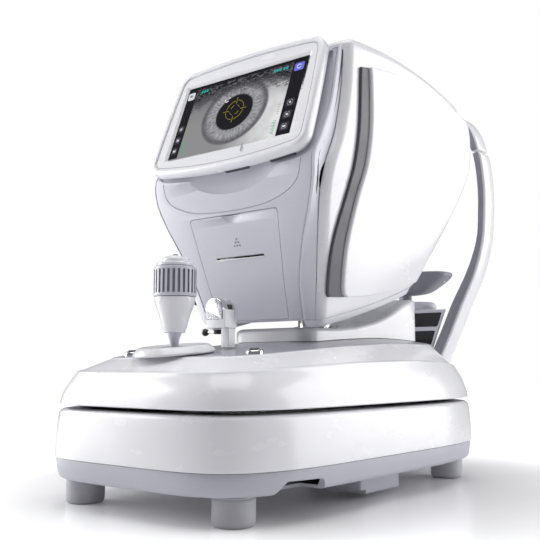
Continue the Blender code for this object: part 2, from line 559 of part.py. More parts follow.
def ribbed_ring(centre, ribs=24):
    """The height ring: a collar whose outside alternates between ribs and grooves."""
    bm = bmesh.new()
    count = ribs * 4
    inner = [(0.0066 * math.cos(2 * math.pi * k / count), 0.0066 * math.sin(2 * math.pi * k / count)) for k in range(count)]

    def outside(shrink, groove):
        points = []
        for k in range(count):
            radius = RING_RADIUS - shrink - (groove if k % 4 >= 2 else 0)
            angle = 2 * math.pi * (k + 0.5) / count
            points.append((radius * math.cos(angle), radius * math.sin(angle)))
        return points

    levels = [(0.0012, 0, RING_BOTTOM), (0, 0, RING_BOTTOM + 0.0010), (0, 0, RING_BOTTOM + 0.0028),
              (0, 0.0014, RING_BOTTOM + 0.0034), (0, 0.0014, RING_TOP - 0.0034), (0, 0, RING_TOP - 0.0028),
              (0, 0, RING_TOP - 0.0010), (0.0012, 0, RING_TOP)]
    rows = [[bm.verts.new((*p, RING_BOTTOM)) for p in inner]]
    rows += [[bm.verts.new((*p, z)) for p in outside(shrink, groove)] for shrink, groove, z in levels]
    rows += [[bm.verts.new((*p, RING_TOP)) for p in inner]]
    for low, high in zip(rows, rows[1:] + rows[:1]):
        for k in range(count):
            m = (k + 1) % count
            bm.faces.new((low[k], low[m], high[m], high[k]))
    bmesh.ops.translate(bm, vec=centre, verts=bm.verts)
    place("joystick_ring", bm, "light_grey", (0, STICK_Y, STICK_PIVOT))


# ---- head ----
def head_ring(station, inset=0.0, lift=0.0, front_extra=0.0, steps=4):
    low_z, front, high_z, rear, half_width, arch = station

    def height(x, y):
        t = (y - front) / (rear - front)
        return low_z + (high_z - low_z) * t + arch * 4 * t * (1 - t) + lift

    return round_ring(half_width - inset, front + inset - front_extra, rear - inset, 0.0090, 0.0260 - inset, height,
                      steps, 5)


def casing_half_width(y, z):
    """Half width of the head casing's side at a point of its side view."""
    levels = []
    for low_z, front, high_z, rear, half_width, arch in HEAD:
        t = (y - front) / (rear - front)
        levels.append((low_z + (high_z - low_z) * t + arch * 4 * t * (1 - t), half_width))
    return along(levels, z)


def casing_front(z):
    return along([(station[0], station[1]) for station in HEAD], z)


def head_casing():
    shell = loft("head_casing", [head_ring(station) for station in HEAD], "white")
    hollow = [head_ring(HEAD[0], WALL, WALL)] + [head_ring(s, WALL) for s in HEAD[1:-2]]
    hollow.append(head_ring(HEAD[-2], WALL + 0.001, -WALL))
    cut(shell, loft("casing_hollow", hollow, None))
    mouth = [head_ring(HEAD[0], MOUTH_LIP, WALL, 0.04)] + [head_ring(s, MOUTH_LIP, 0, 0.04) for s in HEAD[1:-2]]
    mouth.append(head_ring(HEAD[-2], MOUTH_LIP + 0.001, -WALL, 0.04))
    cut(shell, loft("casing_mouth", mouth, None))
    cut(shell, rod("column_hole", (0, COLUMN_Y, 0), GUIDE_RADIUS + 0.003, 0.16, 0.215, segments=32))
    cut(shell, rod("nose_hole", (0, 0.21, 0.340), 0.0310, -0.02, 0.02, None, 36, "Y"))
    lip = [head_ring(HEAD[0], 0.0085, -0.0085), head_ring(HEAD[0], 0.0040, -0.0055), head_ring(HEAD[0], 0.0015, -GAP)]
    under = loft("head_lower_lip", lip, "white")
    cut(under, box("lip_opening", (-0.0560, -0.0800, 0.14), (0.0560, 0.1400, 0.24)))


def seam_section(z, back, shrink=0.0, rise=0.0):
    """A plan section of the head's front, from the seam back to the casing."""
    front = along([(s[0], s[1]) for s in SEAM], z) + rise
    half = along([(s[0], s[2]) for s in SEAM], z) - shrink
    return front, half, back(z)


def front_block(name, levels, width_at_back, back, shrink, rise, material):
    rings = []
    for z in levels:
        front, half, rear = seam_section(z, back, shrink, rise)
        right = [(half - 0.0015, front), (half, front + 0.0012), (width_at_back(z, half), rear)]
        ring = [Vector((x, y, z)) for x, y in right] + [Vector((-x, y, z)) for x, y in reversed(right)]
        rings.append(ring)
    return loft(name, rings, material)


def head_front():
    levels = [s[0] for s in SEAM]
    frame = front_block("head_front_frame", levels, lambda z, half: casing_half_width(casing_front(z), z) - 0.0088,
                        lambda z: casing_front(z) - GAP, 0.0, 0.0010, "grey")
    inside = [0.150] + levels[1:-1] + [levels[-1] - 0.0030]
    opening = front_block("front_opening", inside, lambda z, half: half, lambda z: casing_front(z) + 0.02, 0.0020,
                          -0.03, None)
    cut(frame, opening)
    cover_levels = [levels[0] + 0.0004] + levels[1:-1] + [levels[-1] - 0.0034]
    cover = front_block("head_front_cover", cover_levels, lambda z, half: half,
                        lambda z: along([(s[0], s[1]) for s in SEAM], z) + COVER_THICKNESS, 0.0024, 0.0, "grey")
    doorway = mirrored_outline([(DOOR_HALF_BOTTOM - 0.001, 0.15), (DOOR_HALF_TOP, DOOR_TOP)])
    cut(cover, prism("doorway", doorway, -0.12, -0.02))
    for piece in (frame, cover):
        cut(piece, display_clearance(piece.name))
    door_levels = [DOOR_BOTTOM, 0.2016, 0.2400, 0.2680, DOOR_TOP - 0.0005]
    door = front_block("printer_door", door_levels, lambda z, half: half,
                       lambda z: along([(s[0], s[1]) for s in SEAM], z) + 0.0042, 0.0, 0.0, "grey")
    shape = mirrored_outline([(DOOR_HALF_BOTTOM - 0.0016, 0.1600), (DOOR_HALF_TOP - 0.0006, DOOR_TOP + 0.0005)])
    cut(door, prism("door_outline", shape, -0.12, -0.02), "INTERSECT")
    cut(door, box("paper_slot", (-0.0310, -0.10, 0.2296), (0.0310, -0.05, 0.2313)))
    cut(door, rod("thumb_notch", (0, -0.0905, DOOR_TOP + 0.0020), 0.0170, -0.0110, 0.0110, None, 24, "Y"))
    move_origin(door, DOOR_HINGE)


def move_origin(obj, point):
    """Puts an object's origin on its joint's axis without moving its shape."""
    shift = Vector(point) - obj.location
    obj.data.transform(Matrix.Translation(-shift))
    obj.location = Vector(point)


def side_slab(name, rows, side, near, far, material):
    """A slab that follows the casing's side. Each row is a list of (y, z) points, front to rear."""
    bm = bmesh.new()
    skins = []
    for proud in (near, far):
        grid = []
        for r, row in enumerate(rows):
            line = []
            for c, (y, z) in enumerate(row):
                edge = r in (0, len(rows) - 1) or c in (0, len(row) - 1)
                out = proud - (0.0014 if edge and proud == far else 0)
                line.append(bm.verts.new((side * (casing_half_width(y, z) + out), y, z)))
            grid.append(line)
        skins.append(grid)
    height, width = len(rows), len(rows[0])
    for grid in skins:
        for r in range(height - 1):
            for c in range(width - 1):
                bm.faces.new((grid[r][c], grid[r][c + 1], grid[r + 1][c + 1], grid[r + 1][c]))
    rim = [(0, c) for c in range(width)] + [(r, width - 1) for r in range(1, height)]
    rim += [(height - 1, c) for c in range(width - 2, -1, -1)] + [(r, 0) for r in range(height - 2, 0, -1)]
    for (r, c), (s, d) in zip(rim, rim[1:] + rim[:1]):
        bm.faces.new((skins[0][r][c], skins[0][s][d], skins[1][s][d], skins[1][r][c]))
    return place(name, bm, material)


def panel_row(row, columns):
    """Points across one row of the side panel, with a close pair at each edge for its rounded rim."""
    low_z, front, high_z, rear, arch = row
    points = []
    for t in columns:
        points.append((front + (rear - front) * t, low_z + (high_z - low_z) * t + arch * 4 * t * (1 - t)))
    return points


def side_panels():
    columns = (0.0, 0.012, 0.2, 0.4, 0.6, 0.8, 0.985, 1.0)
    rows = [panel_row(row, columns) for row in PANEL]
    strip_rows = []
    for row, front in zip(PANEL, STRIP_FRONT):
        rear, z = row[1] - 0.0006, row[0]
        strip_rows.append([(front, z - 0.002), (front + 0.0012, z - 0.002), ((front + rear) / 2, z - 0.001), (rear, z)])
    for side, sign in (("left", -1), ("right", 1)):
        side_slab(f"side_panel_{side}", rows, sign, 0.0008, PANEL_PROUD, "white")
        side_slab(f"accent_strip_{side}", strip_rows, sign, 0.0006, STRIP_PROUD + 0.0010, "mid_grey")


def measuring_nose():
    profile = [(0.0230, 0.150), (0.0300, 0.150), (0.0300, 0.2135), (0.0285, 0.2175), (0.0240, 0.2185), (0.0230, 0.2100)]
    turned("measuring_nose", profile, (0, 0, 0.340), "mid_grey", 36, "Y")
    window = [(0, 0.2060), (0.0225, 0.2060), (0.0225, 0.2078), (0, 0.2092)]
    turned("measuring_window", window, (0, 0, 0.340), "black_gloss", 32, "Y")


def head_internals():
    bench = box("optical_bench", (-0.077, 0.014, 0.2190), (0.077, 0.132, 0.2225), "steel")
    cut(bench, box("optics_support", (-0.018, 0.070, 0.2200), (0.018, 0.130, 0.3170)), "UNION")
    tube = [(0.0185, 0.060), (0.0225, 0.060), (0.0225, 0.1900), (0.0185, 0.1900)]
    turned("objective_tube", tube, (0, 0, 0.340), "dark", 28, "Y")
    box("camera_module", (-0.020, 0.020, 0.3200), (0.020, 0.0590, 0.3600), "dark", 0.001)
    box("main_board", (-0.0600, 0.030, 0.2229), (-0.0575, 0.130, 0.2900), "board")
    cradle = box("printer_cradle", (-0.034, -0.0350, 0.1980), (0.034, 0.0090, 0.2240), "dark")
    cut(cradle, rod("roll_space", ROLL_CENTRE, ROLL_RADIUS + 0.0015, -0.0305, 0.0305, None, 28, "X"))
    x, y, z = ROLL_CENTRE
    roll = [(0.0060, -ROLL_HALF_LENGTH), (ROLL_RADIUS, -ROLL_HALF_LENGTH), (ROLL_RADIUS, ROLL_HALF_LENGTH),
            (0.0060, ROLL_HALF_LENGTH)]
    turned("paper_roll", roll, ROLL_CENTRE, "paper", 28, "X")


# ---- display ----
def screen_point(across, up, depth):
    """A point in the leaning display's own frame: across, up its face, and back from its face."""
    c, s = math.cos(SCREEN_LEAN), math.sin(SCREEN_LEAN)
    return SCREEN_CENTRE + Vector((across, up * s + depth * c, up * c - depth * s))


def rise(up, bow):
    """How far the display's outline stands beyond its rectangle: a raised, bowed top and a bowed bottom."""
    return up * (0.0048 + 0.0052 * bow if up > 0 else 0.0080 * bow)


def display_outline(inset, steps=4):
    """The display's outline: a rounded rectangle, a little wider below, whose lower edge bows down."""
    w, h, r = DISPLAY_HALF_WIDTH - inset, DISPLAY_HALF_HEIGHT - inset, DISPLAY_CORNER - min(inset, 0.008)
    right = [(w * t, -h) for t in (0.15, 0.45, 0.7)]
    right += [(w - r + r * math.sin(a), -h + r - r * math.cos(a)) for a in
              [math.pi / 2 * k / steps for k in range(steps + 1)]]
    right += [(w, 0.0)]
    right += [(w - r + r * math.cos(a), h - r + r * math.sin(a)) for a in
              [math.pi / 2 * k / steps for k in range(steps + 1)]]
    right += [(w * t, h) for t in (0.7, 0.45, 0.15)]
    shaped = []
    for x, y in right:
        bow = 1 - (x / w) ** 2
        shaped.append((x * (1 - 0.032 * y / h) + 0.0015 * (1 - (y / h) ** 2), y + rise(y / h, bow)))
    return shaped


def display_ring(inset, depth):
    right = [screen_point(x, y, depth) for x, y in display_outline(inset)]
    return right + [Vector((-p.x, p.y, p.z)) for p in reversed(right)]


def display_clearance(owner):
    return loft(f"clearance_{owner}", [display_ring(-0.0012, -0.02), display_ring(-0.0012, DISPLAY_DEPTH + 0.0012)], None)


def panel_box(name, half_width, half_height, near, far, material=None):
    bm = bmesh.new()
    rows = []
    for depth in (near, far):
        corners = ((-half_width, -half_height), (half_width, -half_height), (half_width, half_height), (-half_width, half_height))
        rows.append([bm.verts.new(screen_point(x, y, depth)) for x, y in corners])
    bm.faces.new(rows[0])
    bm.faces.new(rows[1][::-1])
    for i in range(4):
        bm.faces.new((rows[0][i], rows[0][(i + 1) % 4], rows[1][(i + 1) % 4], rows[1][i]))
    return place(name, bm, material)


def display():
    front = loft("display_bezel", [
        display_ring(0.0022, 0.0), display_ring(0.0006, 0.0010), display_ring(0.0, 0.0030), display_ring(0.0, BEZEL_DEPTH),
    ], "white")
    cut(front, panel_box("screen_pocket", SCREEN_HALF_WIDTH + 0.0012, SCREEN_HALF_HEIGHT + 0.0012, -0.01, 0.0046))
    loft("display_back", [
        display_ring(0.0030, BEZEL_DEPTH + GAP), display_ring(0.0030, DISPLAY_DEPTH - 0.0030),
        display_ring(0.0050, DISPLAY_DEPTH),
    ], "white")
    panel_box("display_screen", SCREEN_HALF_WIDTH + 0.0008, SCREEN_HALF_HEIGHT + 0.0008, 0.0012, 0.0042, "black_gloss")


# ---- build ----
clear_scene()
MATERIALS = make_materials()
ASSEMBLY = bpy.data.objects.new("assembly", None)
ASSEMBLY.location = (0, CENTRE_SHIFT, 0)
bpy.context.scene.collection.objects.link(ASSEMBLY)

base_shells()
feet()
electrics()
x_slide_parts()
face_frame()
pedestal()
chin_rest()
stage_skin()
turret_and_column()
lock_clamp()
joystick()
head_casing()
head_front()
side_panels()
measuring_nose()
head_internals()
display()
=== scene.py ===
"""Autorefractor: detailed pieces, materials, floor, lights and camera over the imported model."""

import math

import bmesh
import bpy
from mathutils import Matrix, Vector


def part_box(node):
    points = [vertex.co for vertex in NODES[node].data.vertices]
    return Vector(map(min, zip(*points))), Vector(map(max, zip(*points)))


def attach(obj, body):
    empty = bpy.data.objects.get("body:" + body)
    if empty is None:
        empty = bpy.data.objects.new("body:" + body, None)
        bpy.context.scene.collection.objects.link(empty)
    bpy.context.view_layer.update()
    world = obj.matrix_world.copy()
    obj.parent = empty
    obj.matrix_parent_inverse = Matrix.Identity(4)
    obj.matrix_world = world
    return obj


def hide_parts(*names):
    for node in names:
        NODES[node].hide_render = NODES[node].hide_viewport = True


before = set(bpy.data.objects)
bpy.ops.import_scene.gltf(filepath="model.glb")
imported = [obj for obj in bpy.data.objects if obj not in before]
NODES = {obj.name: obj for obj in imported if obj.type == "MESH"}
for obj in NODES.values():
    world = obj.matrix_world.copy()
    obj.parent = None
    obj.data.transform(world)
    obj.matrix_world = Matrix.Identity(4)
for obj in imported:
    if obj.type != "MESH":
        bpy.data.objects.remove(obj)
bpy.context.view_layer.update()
TRAY_LOW, TRAY_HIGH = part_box("base_tray")
SHIFT = Vector((0, (TRAY_LOW.y + TRAY_HIGH.y) / 2, 0))

# ---- sizes, in metres, measured from the middle of the base ----
HALF_WIDTH, HALF_DEPTH, SQUARENESS = 0.135, 0.2235, 4.7
TRAY_BOTTOM, TRAY_TOP = 0.0237, 0.0423
SHELL_BOTTOM, SHELL_TOP = 0.0427, 0.0859
FOOT_RADIUS, FOOT_X, FOOT_Y = 0.0175, 0.0904, 0.182
SKIRT_BOTTOM = 0.0893
DECK_HALF_WIDTH, DECK_FRONT, DECK_REAR, RIDGE_INSET = 0.0973, -0.1795, 0.1875, 0.0155
RIDGE_HEIGHTS = ((-0.21, 0.1185), (-0.1, 0.124), (0.0, 0.1285), (0.1, 0.1285), (0.21, 0.1235))
DECK_HEIGHTS = ((-0.18, 0.1295), (-0.1, 0.137), (0.0, 0.144), (0.07, 0.1465), (0.12, 0.1465),
                (0.19, 0.1435))
DECK_CROWNS = ((-0.18, 0.002), (-0.1, 0.003), (-0.04, 0.0055), (0.01, 0.0065), (0.12, 0.0105),
               (0.19, 0.012))
TURRET_HALF_WIDTH, TURRET_FRONT, TURRET_REAR = 0.052, -0.028, 0.195
TURRET_TOPS = ((-0.03, 0.162), (0.02, 0.1621), (0.05, 0.1641), (0.075, 0.1676), (0.105, 0.1734),
               (0.135, 0.1832), (0.16, 0.194), (0.181, 0.2014), (0.195, 0.2035))
COLUMN_Y, COLUMN_HOLE, NOSE_HEIGHT = 0.055, 0.0262, 0.34
CASING_WALL, MOUTH_LIP = 0.0026, 0.0082  # the lip is how far the front rim turns in
# Head casing, bottom to top: front height and Y, rear height and Y, half width, arch
HEAD = (
    (0.1672, -0.0432, 0.2172, 0.15, 0.079, -0.0035),
    (0.205, -0.0545, 0.24, 0.163, 0.089, -0.003),
    (0.245, -0.0665, 0.272, 0.183, 0.099, 0.0),
    (0.285, -0.0735, 0.305, 0.203, 0.107, 0.0),
    (0.312, -0.07, 0.33, 0.2115, 0.111, 0.0),
    (0.3425, -0.057, 0.354, 0.2145, 0.1125, 0.002),
    (0.384, -0.046, 0.385, 0.2145, 0.1125, 0.006),
    (0.418, -0.0415, 0.407, 0.2135, 0.112, 0.01),
    (0.434, -0.04, 0.419, 0.211, 0.111, 0.012),
    (0.4385, -0.037, 0.4235, 0.207, 0.108, 0.012),
)
# Front cover seam, bottom to top: height, Y, half width
SEAM = (
    (0.1678, -0.0499, 0.0634), (0.2016, -0.0626, 0.0685), (0.24, -0.0748, 0.0814), (0.268, -0.0832, 0.094),
    (0.294, -0.0893, 0.1028), (0.315, -0.0903, 0.1045), (0.33, -0.082, 0.1052), (0.367, -0.064, 0.1052),
    (0.407, -0.053, 0.105), (0.431, -0.047, 0.1045),
)
# Raised side panel, bottom to top: front height and Y, rear height and Y, arch
PANEL = (
    (0.19, -0.015, 0.216, 0.126, -0.004), (0.196, -0.024, 0.222, 0.129, -0.004),
    (0.223, -0.0315, 0.24, 0.136, -0.002), (0.25, -0.033, 0.265, 0.15, 0.0),
    (0.287, -0.0275, 0.295, 0.17, 0.0), (0.316, -0.0187, 0.325, 0.189, 0.002),
    (0.355, -0.012, 0.356, 0.206, 0.006), (0.4, -0.0105, 0.388, 0.21, 0.01),
    (0.415, -0.0115, 0.41, 0.206, 0.012),
)
STRIP_FRONT = (-0.044, -0.048, -0.0535, -0.053, -0.044, -0.037, -0.03, -0.0265, -0.025)
DOOR_TOP, DOOR_BOTTOM, DOOR_HALF_TOP, DOOR_HALF_BOTTOM = 0.2712, 0.1694, 0.0574, 0.044
SCREEN_CENTRE, SCREEN_LEAN = Vector((0, -0.0806, 0.3796)), math.radians(20.8)
SCREEN_HALF_WIDTH, SCREEN_HALF_HEIGHT = 0.0797, 0.0455
PICTURE_WIDTH, SCREEN_SPECULAR = 0.16, 0.06
DISPLAY_HALF_WIDTH, DISPLAY_HALF_HEIGHT, DISPLAY_CORNER = 0.0985, 0.061, 0.015
BEZEL_DEPTH, DISPLAY_DEPTH = 0.01, 0.015
STICK = Vector((0, -0.16, 0))
RING_BOTTOM, RING_TOP, RING_RADIUS = 0.185, 0.212, 0.0192
BUTTON_X, BUTTON_Y = 0.0766, -0.1405
CLAMP = Vector((0.0075, -0.105, 0.1545))
# Face support: outer edge of the frame as (half width, height), from the foot to the crown
FRAME = (
    (0.047, 0.1), (0.056, 0.13), (0.0725, 0.165), (0.0855, 0.194), (0.105, 0.235),
    (0.1165, 0.274), (0.12, 0.31), (0.1205, 0.34), (0.118, 0.37), (0.114, 0.388),
    (0.107, 0.41), (0.096, 0.427), (0.08, 0.437), (0.055, 0.442), (0.025, 0.4435), (0.0, 0.444),
)
FRAME_FRONT, FRAME_REAR, LINING_DEPTH = 0.2385, 0.27, 0.003
PEDESTAL_TOP, CHIN_Y = 0.1945, 0.2575


# ---- material building ----
class Tree:
    """Short calls for adding and joining a material's nodes."""

    def __init__(self, name):
        self.material = bpy.data.materials.new(name)
        self.material.use_nodes = True
        self.nodes = self.material.node_tree.nodes
        self.links = self.material.node_tree.links
        self.shader = self.nodes["Principled BSDF"]

    def feed(self, socket, value):
        if isinstance(value, bpy.types.NodeSocket):
            self.links.new(value, socket)
        else:
            socket.default_value = value

    def set(self, socket, value):
        """Sets or feeds one of the shader's own sockets."""
        self.feed(self.shader.inputs[socket], value)

    def rough(self, pattern, spread, low):
        self.set("Roughness", self.math("ADD", self.math("MULTIPLY", pattern, spread), low))

    def add(self, kind, output=0, inputs=(), **settings):
        node = self.nodes.new(kind)
        for key, value in settings.items():
            setattr(node, key, value)
        for key, value in dict(inputs).items():
            self.feed(node.inputs[key], value)
        return node.outputs[output]

    def math(self, operation, a, b=0.0, clamp=False):
        return self.add("ShaderNodeMath", 0, {0: a, 1: b}, operation=operation, use_clamp=clamp)

    def step(self, value, low, high):
        """Rises from 0 to 1 as value goes from low to high."""
        return self.add("ShaderNodeMapRange", 0, {0: value, 1: low, 2: high, 3: 0.0, 4: 1.0},
                        interpolation_type="SMOOTHSTEP")

    def mix(self, factor, a, b, blend="MIX"):
        node = self.nodes.new("ShaderNodeMix")
        node.data_type = "RGBA"
        node.blend_type = blend
        for index, value in ((0, factor), (6, a), (7, b)):
            if isinstance(value, (tuple, list)) and len(value) == 3:
                value = (*value, 1)
            self.feed(node.inputs[index], value)
        return node.outputs[2]

    def noise(self, scale, detail=3.0, stretch=(1, 1, 1), roughness=0.55):
        where = self.add("ShaderNodeTexCoord", 3)
        placed = self.add("ShaderNodeMapping", 0, {0: where, 3: stretch})
        return self.add("ShaderNodeTexNoise", 0,
                        {"Vector": placed, "Scale": scale, "Detail": detail, "Roughness": roughness})

    def bump(self, height, strength, distance):
        normal = self.add("ShaderNodeBump", 0,
                          {"Height": height, "Strength": strength, "Distance": distance})
        self.set("Normal", normal)


def moulded(name, colour, roughness=0.3, grain=0.1, grain_scale=2600, tone=0.03, coat=0.0, specular=0.5):
    """Moulded plastic: faint tone drift, fine spark-eroded grain and handling smudges."""
    t = Tree(name)
    drift = t.noise(9, 3)
    shade = tuple(c * (1 - tone) for c in colour)
    lift = tuple(min(1.0, c * (1 + tone * 0.6)) for c in colour)
    base = t.mix(t.step(drift, 0.35, 0.65), shade, lift)
    speck = t.noise(900, 2)
    base = t.mix(t.math("MULTIPLY", t.step(speck, 0.45, 0.75), tone * 2), base, shade)
    t.set("Base Color", base)
    smudge = t.step(t.noise(26, 4, (1, 1, 2.2)), 0.4, 0.75)
    rough = t.math("ADD", t.math("MULTIPLY", smudge, 0.07), roughness - 0.02)
    t.set("Roughness", rough)
    t.set("Specular IOR Level", specular)
    t.set("Coat Weight", coat)
    t.set("Coat Roughness", 0.12)
    t.bump(t.noise(grain_scale, 2), grain, 0.00008)
    return t.material


def brushed(name, colour, roughness=0.3, stretch=(1, 30, 1), scale=180):
    """Brushed or turned metal, with fine lines along one direction."""
    t = Tree(name)
    lines = t.noise(scale, 4, stretch)
    dark = tuple(c * 0.82 for c in colour)
    t.set("Base Color", t.mix(t.step(lines, 0.3, 0.7), dark, colour))
    t.rough(lines, 0.16, roughness - 0.08)
    t.set("Metallic", 1.0)
    t.bump(lines, 0.12, 0.0001)
    return t.material


def soft_rubber(name, colour, roughness=0.62):
    t = Tree(name)
    bloom = t.step(t.noise(40, 5), 0.35, 0.7)
    t.set("Base Color", t.mix(bloom, colour, tuple(min(1.0, c * 1.12 + 0.01) for c in colour)))
    t.rough(bloom, 0.12, roughness - 0.06)
    t.bump(t.noise(1500, 3), 0.25, 0.00015)
    return t.material


def circuit_board(name):
    t = Tree(name)
    where = t.add("ShaderNodeTexCoord", 3)
    cells = t.add("ShaderNodeTexVoronoi", 0, {"Vector": where, "Scale": 260.0}, distance="MANHATTAN")
    t.set("Base Color", t.mix(t.step(cells, 0.25, 0.3), (0.05, 0.2, 0.08), (0.01, 0.09, 0.04)))
    t.rough(cells, 0.2, 0.3)
    t.bump(cells, 0.2, 0.0003)
    return t.material


def paper(name):
    t = Tree(name)
    fibre = t.noise(700, 5)
    t.set("Base Color", t.mix(fibre, (0.8, 0.8, 0.77), (0.92, 0.92, 0.9)))
    t.rough(fibre, 0.1, 0.75)
    t.bump(fibre, 0.2, 0.0001)
    return t.material


def lit(name, colour, strength=1.0, flicker=0.08):
    """A lit part of the screen's picture, with the faint unevenness of a backlight."""
    t = Tree(name)
    glow = t.noise(60, 2)
    t.set("Base Color", (0.01, 0.01, 0.012, 1))
    t.set("Emission Color", t.mix(glow, tuple(c * (1 - flicker) for c in colour), colour))
    t.set("Emission Strength", strength)
    t.set("Specular IOR Level", SCREEN_SPECULAR)
    t.rough(glow, 0.05, 0.16)
    return t.material


def eye_picture(name):
    """A grey infrared picture of an eye: lashes, sclera, fibrous iris, dark pupil. UV is in screen widths."""
    t = Tree(name)
    uv = t.add("ShaderNodeTexCoord", 2)
    split = t.nodes.new("ShaderNodeSeparateXYZ")
    t.links.new(uv, split.inputs[0])
    x, y = split.outputs[0], split.outputs[1]
    dx = t.math("ADD", x, 0.012)
    dy = t.math("ADD", y, 0.012)
    across = t.math("MULTIPLY", dx, 0.9)
    radius = t.math("SQRT", t.math("ADD", t.math("MULTIPLY", across, across), t.math("MULTIPLY", dy, dy)))
    angle = t.math("ARCTAN2", dy, across)
    spokes = t.add("ShaderNodeCombineXYZ", 0,
                   {0: t.math("MULTIPLY", angle, 5.0), 1: t.math("MULTIPLY", radius, 6.0)})
    fibres = t.add("ShaderNodeTexNoise", 0,
                   {"Vector": spokes, "Scale": 3.2, "Detail": 6.0, "Roughness": 0.7})
    mottle = t.add("ShaderNodeTexNoise", 0, {"Vector": uv, "Scale": 60.0, "Detail": 4.0})
    iris = t.mix(t.step(fibres, 0.3, 0.72), (0.09, 0.09, 0.1), (0.46, 0.46, 0.48))
    iris = t.mix(t.math("MULTIPLY", t.step(mottle, 0.35, 0.7), 0.6), iris, (0.4, 0.4, 0.42))
    rim = t.step(radius, 0.185, 0.228)
    iris = t.mix(t.math("MULTIPLY", rim, 0.8), iris, (0.07, 0.07, 0.08))
    veins = t.step(t.add("ShaderNodeTexNoise", 0, {"Vector": uv, "Scale": 9.0, "Detail": 5.0}), 0.3, 0.8)
    sclera = t.mix(veins, (0.78, 0.78, 0.79), (0.6, 0.6, 0.62))
    sclera = t.mix(t.step(x, -0.1, 0.36), (0.26, 0.26, 0.27), sclera)
    sclera = t.mix(t.step(y, -0.06, 0.2), sclera, t.mix(0.55, sclera, (0.1, 0.1, 0.11)))
    picture = t.mix(t.step(radius, 0.232, 0.252), iris, sclera)
    picture = t.mix(t.step(radius, 0.128, 0.142), (0.004, 0.004, 0.005), picture)
    wave = t.add("ShaderNodeCombineXYZ", 0,
                 {0: t.math("MULTIPLY", x, 16.0), 1: t.math("MULTIPLY", y, 34.0)})
    lashes = t.add("ShaderNodeTexNoise", 0,
                   {"Vector": wave, "Scale": 1.6, "Detail": 5.0, "Distortion": 1.4})
    lid = t.math("ADD", y, t.math("MULTIPLY", t.math("MULTIPLY", x, x), 0.35))
    cover = t.math("ADD", lid, t.math("MULTIPLY", t.math("SUBTRACT", lashes, 0.5), 0.22))
    shade = t.mix(0.75, picture, (0.03, 0.03, 0.034))
    picture = t.mix(t.step(cover, 0.12, 0.19), picture, shade)
    lid_dark = t.mix(t.step(lashes, 0.42, 0.66), (0.004, 0.004, 0.005), (0.12, 0.12, 0.13))
    picture = t.mix(t.step(cover, 0.185, 0.205), picture, lid_dark)
    t.set("Base Color", (0.01, 0.01, 0.012, 1))
    t.set("Emission Color", picture)
    t.set("Emission Strength", 1.0)
    t.set("Specular IOR Level", SCREEN_SPECULAR)
    t.rough(mottle, 0.05, 0.14)
    return t.material


MATERIALS = {
    "white": moulded("white_gloss_plastic", (0.82, 0.82, 0.85), 0.24, 0.04, 2600, 0.012, 0.35),
    "white_satin": moulded("white_satin_plastic", (0.8, 0.8, 0.84), 0.34, 0.08, 2600, 0.015, 0.1),
    "cover": moulded("pale_grey_cover_plastic", (0.6, 0.6, 0.66), 0.36, 0.1, 2400, 0.015, 0.1),
    "ring": moulded("grey_frame_plastic", (0.74, 0.74, 0.8), 0.36, 0.1, 2400, 0.02, 0.1),
    "tray": moulded("grey_tray_plastic", (0.5, 0.5, 0.55), 0.42, 0.14, 2200, 0.02),
    "strip": moulded("dark_strip_plastic", (0.06, 0.06, 0.075), 0.38, 0.12, 2200, 0.03),
    "lining": moulded("grey_lining_plastic", (0.25, 0.25, 0.28), 0.42, 0.14, 2200, 0.03),
    "deck": moulded("grey_deck_plastic", (0.33, 0.33, 0.37), 0.3, 0.1, 2200, 0.02, 0.2),
    "dark": moulded("black_moulded_plastic", (0.022, 0.022, 0.025), 0.45, 0.14, 2000, 0.1),
    "chin": moulded("grey_chin_plastic", (0.24, 0.24, 0.27), 0.4, 0.12, 2200, 0.04),
    "groove": moulded("shadow_gap_plastic", (0.05, 0.05, 0.06), 0.6, 0.1, 1800, 0.1),
    "piano": moulded("black_gloss_plastic", (0.01, 0.01, 0.012), 0.1, 0.02, 2600, 0.1, 0.5),
    "foot": soft_rubber("grey_foot_rubber", (0.44, 0.44, 0.47)),
    "pad": soft_rubber("pad_silicone", (0.5, 0.5, 0.54), 0.55),
    "steel": brushed("brushed_steel", (0.6, 0.6, 0.62)),
    "chrome": brushed("turned_chrome", (0.78, 0.78, 0.8), 0.16, (1, 1, 30)),
    "board": circuit_board("printed_board"),
    "paper": paper("thermal_paper"),
    "eye": eye_picture("eye_picture"),
    "lit_black": lit("picture_black", (0.004, 0.004, 0.006)),
    "lit_white": lit("picture_white", (0.72, 0.73, 0.78)),
    "lit_grey": lit("picture_grey", (0.22, 0.22, 0.25)),
    "lit_dim": lit("picture_button_grey", (0.03, 0.03, 0.036)),
    "lit_blue": lit("picture_blue", (0.16, 0.17, 0.75)),
    "lit_cyan": lit("picture_cyan", (0.02, 0.38, 0.36)),
    "lit_green": lit("picture_green", (0.06, 0.42, 0.16)),
    "lit_yellow": lit("picture_yellow", (0.36, 0.3, 0.04)),
}


# ---- mesh building ----
def hermite(t, low, slope_in, high, slope_out):
    """A smooth step from low to high that leaves and arrives with the given slopes."""
    return ((2 * t**3 - 3 * t**2 + 1) * low + (t**3 - 2 * t**2 + t) * slope_in
            + (3 * t**2 - 2 * t**3) * high + (t**3 - t**2) * slope_out)


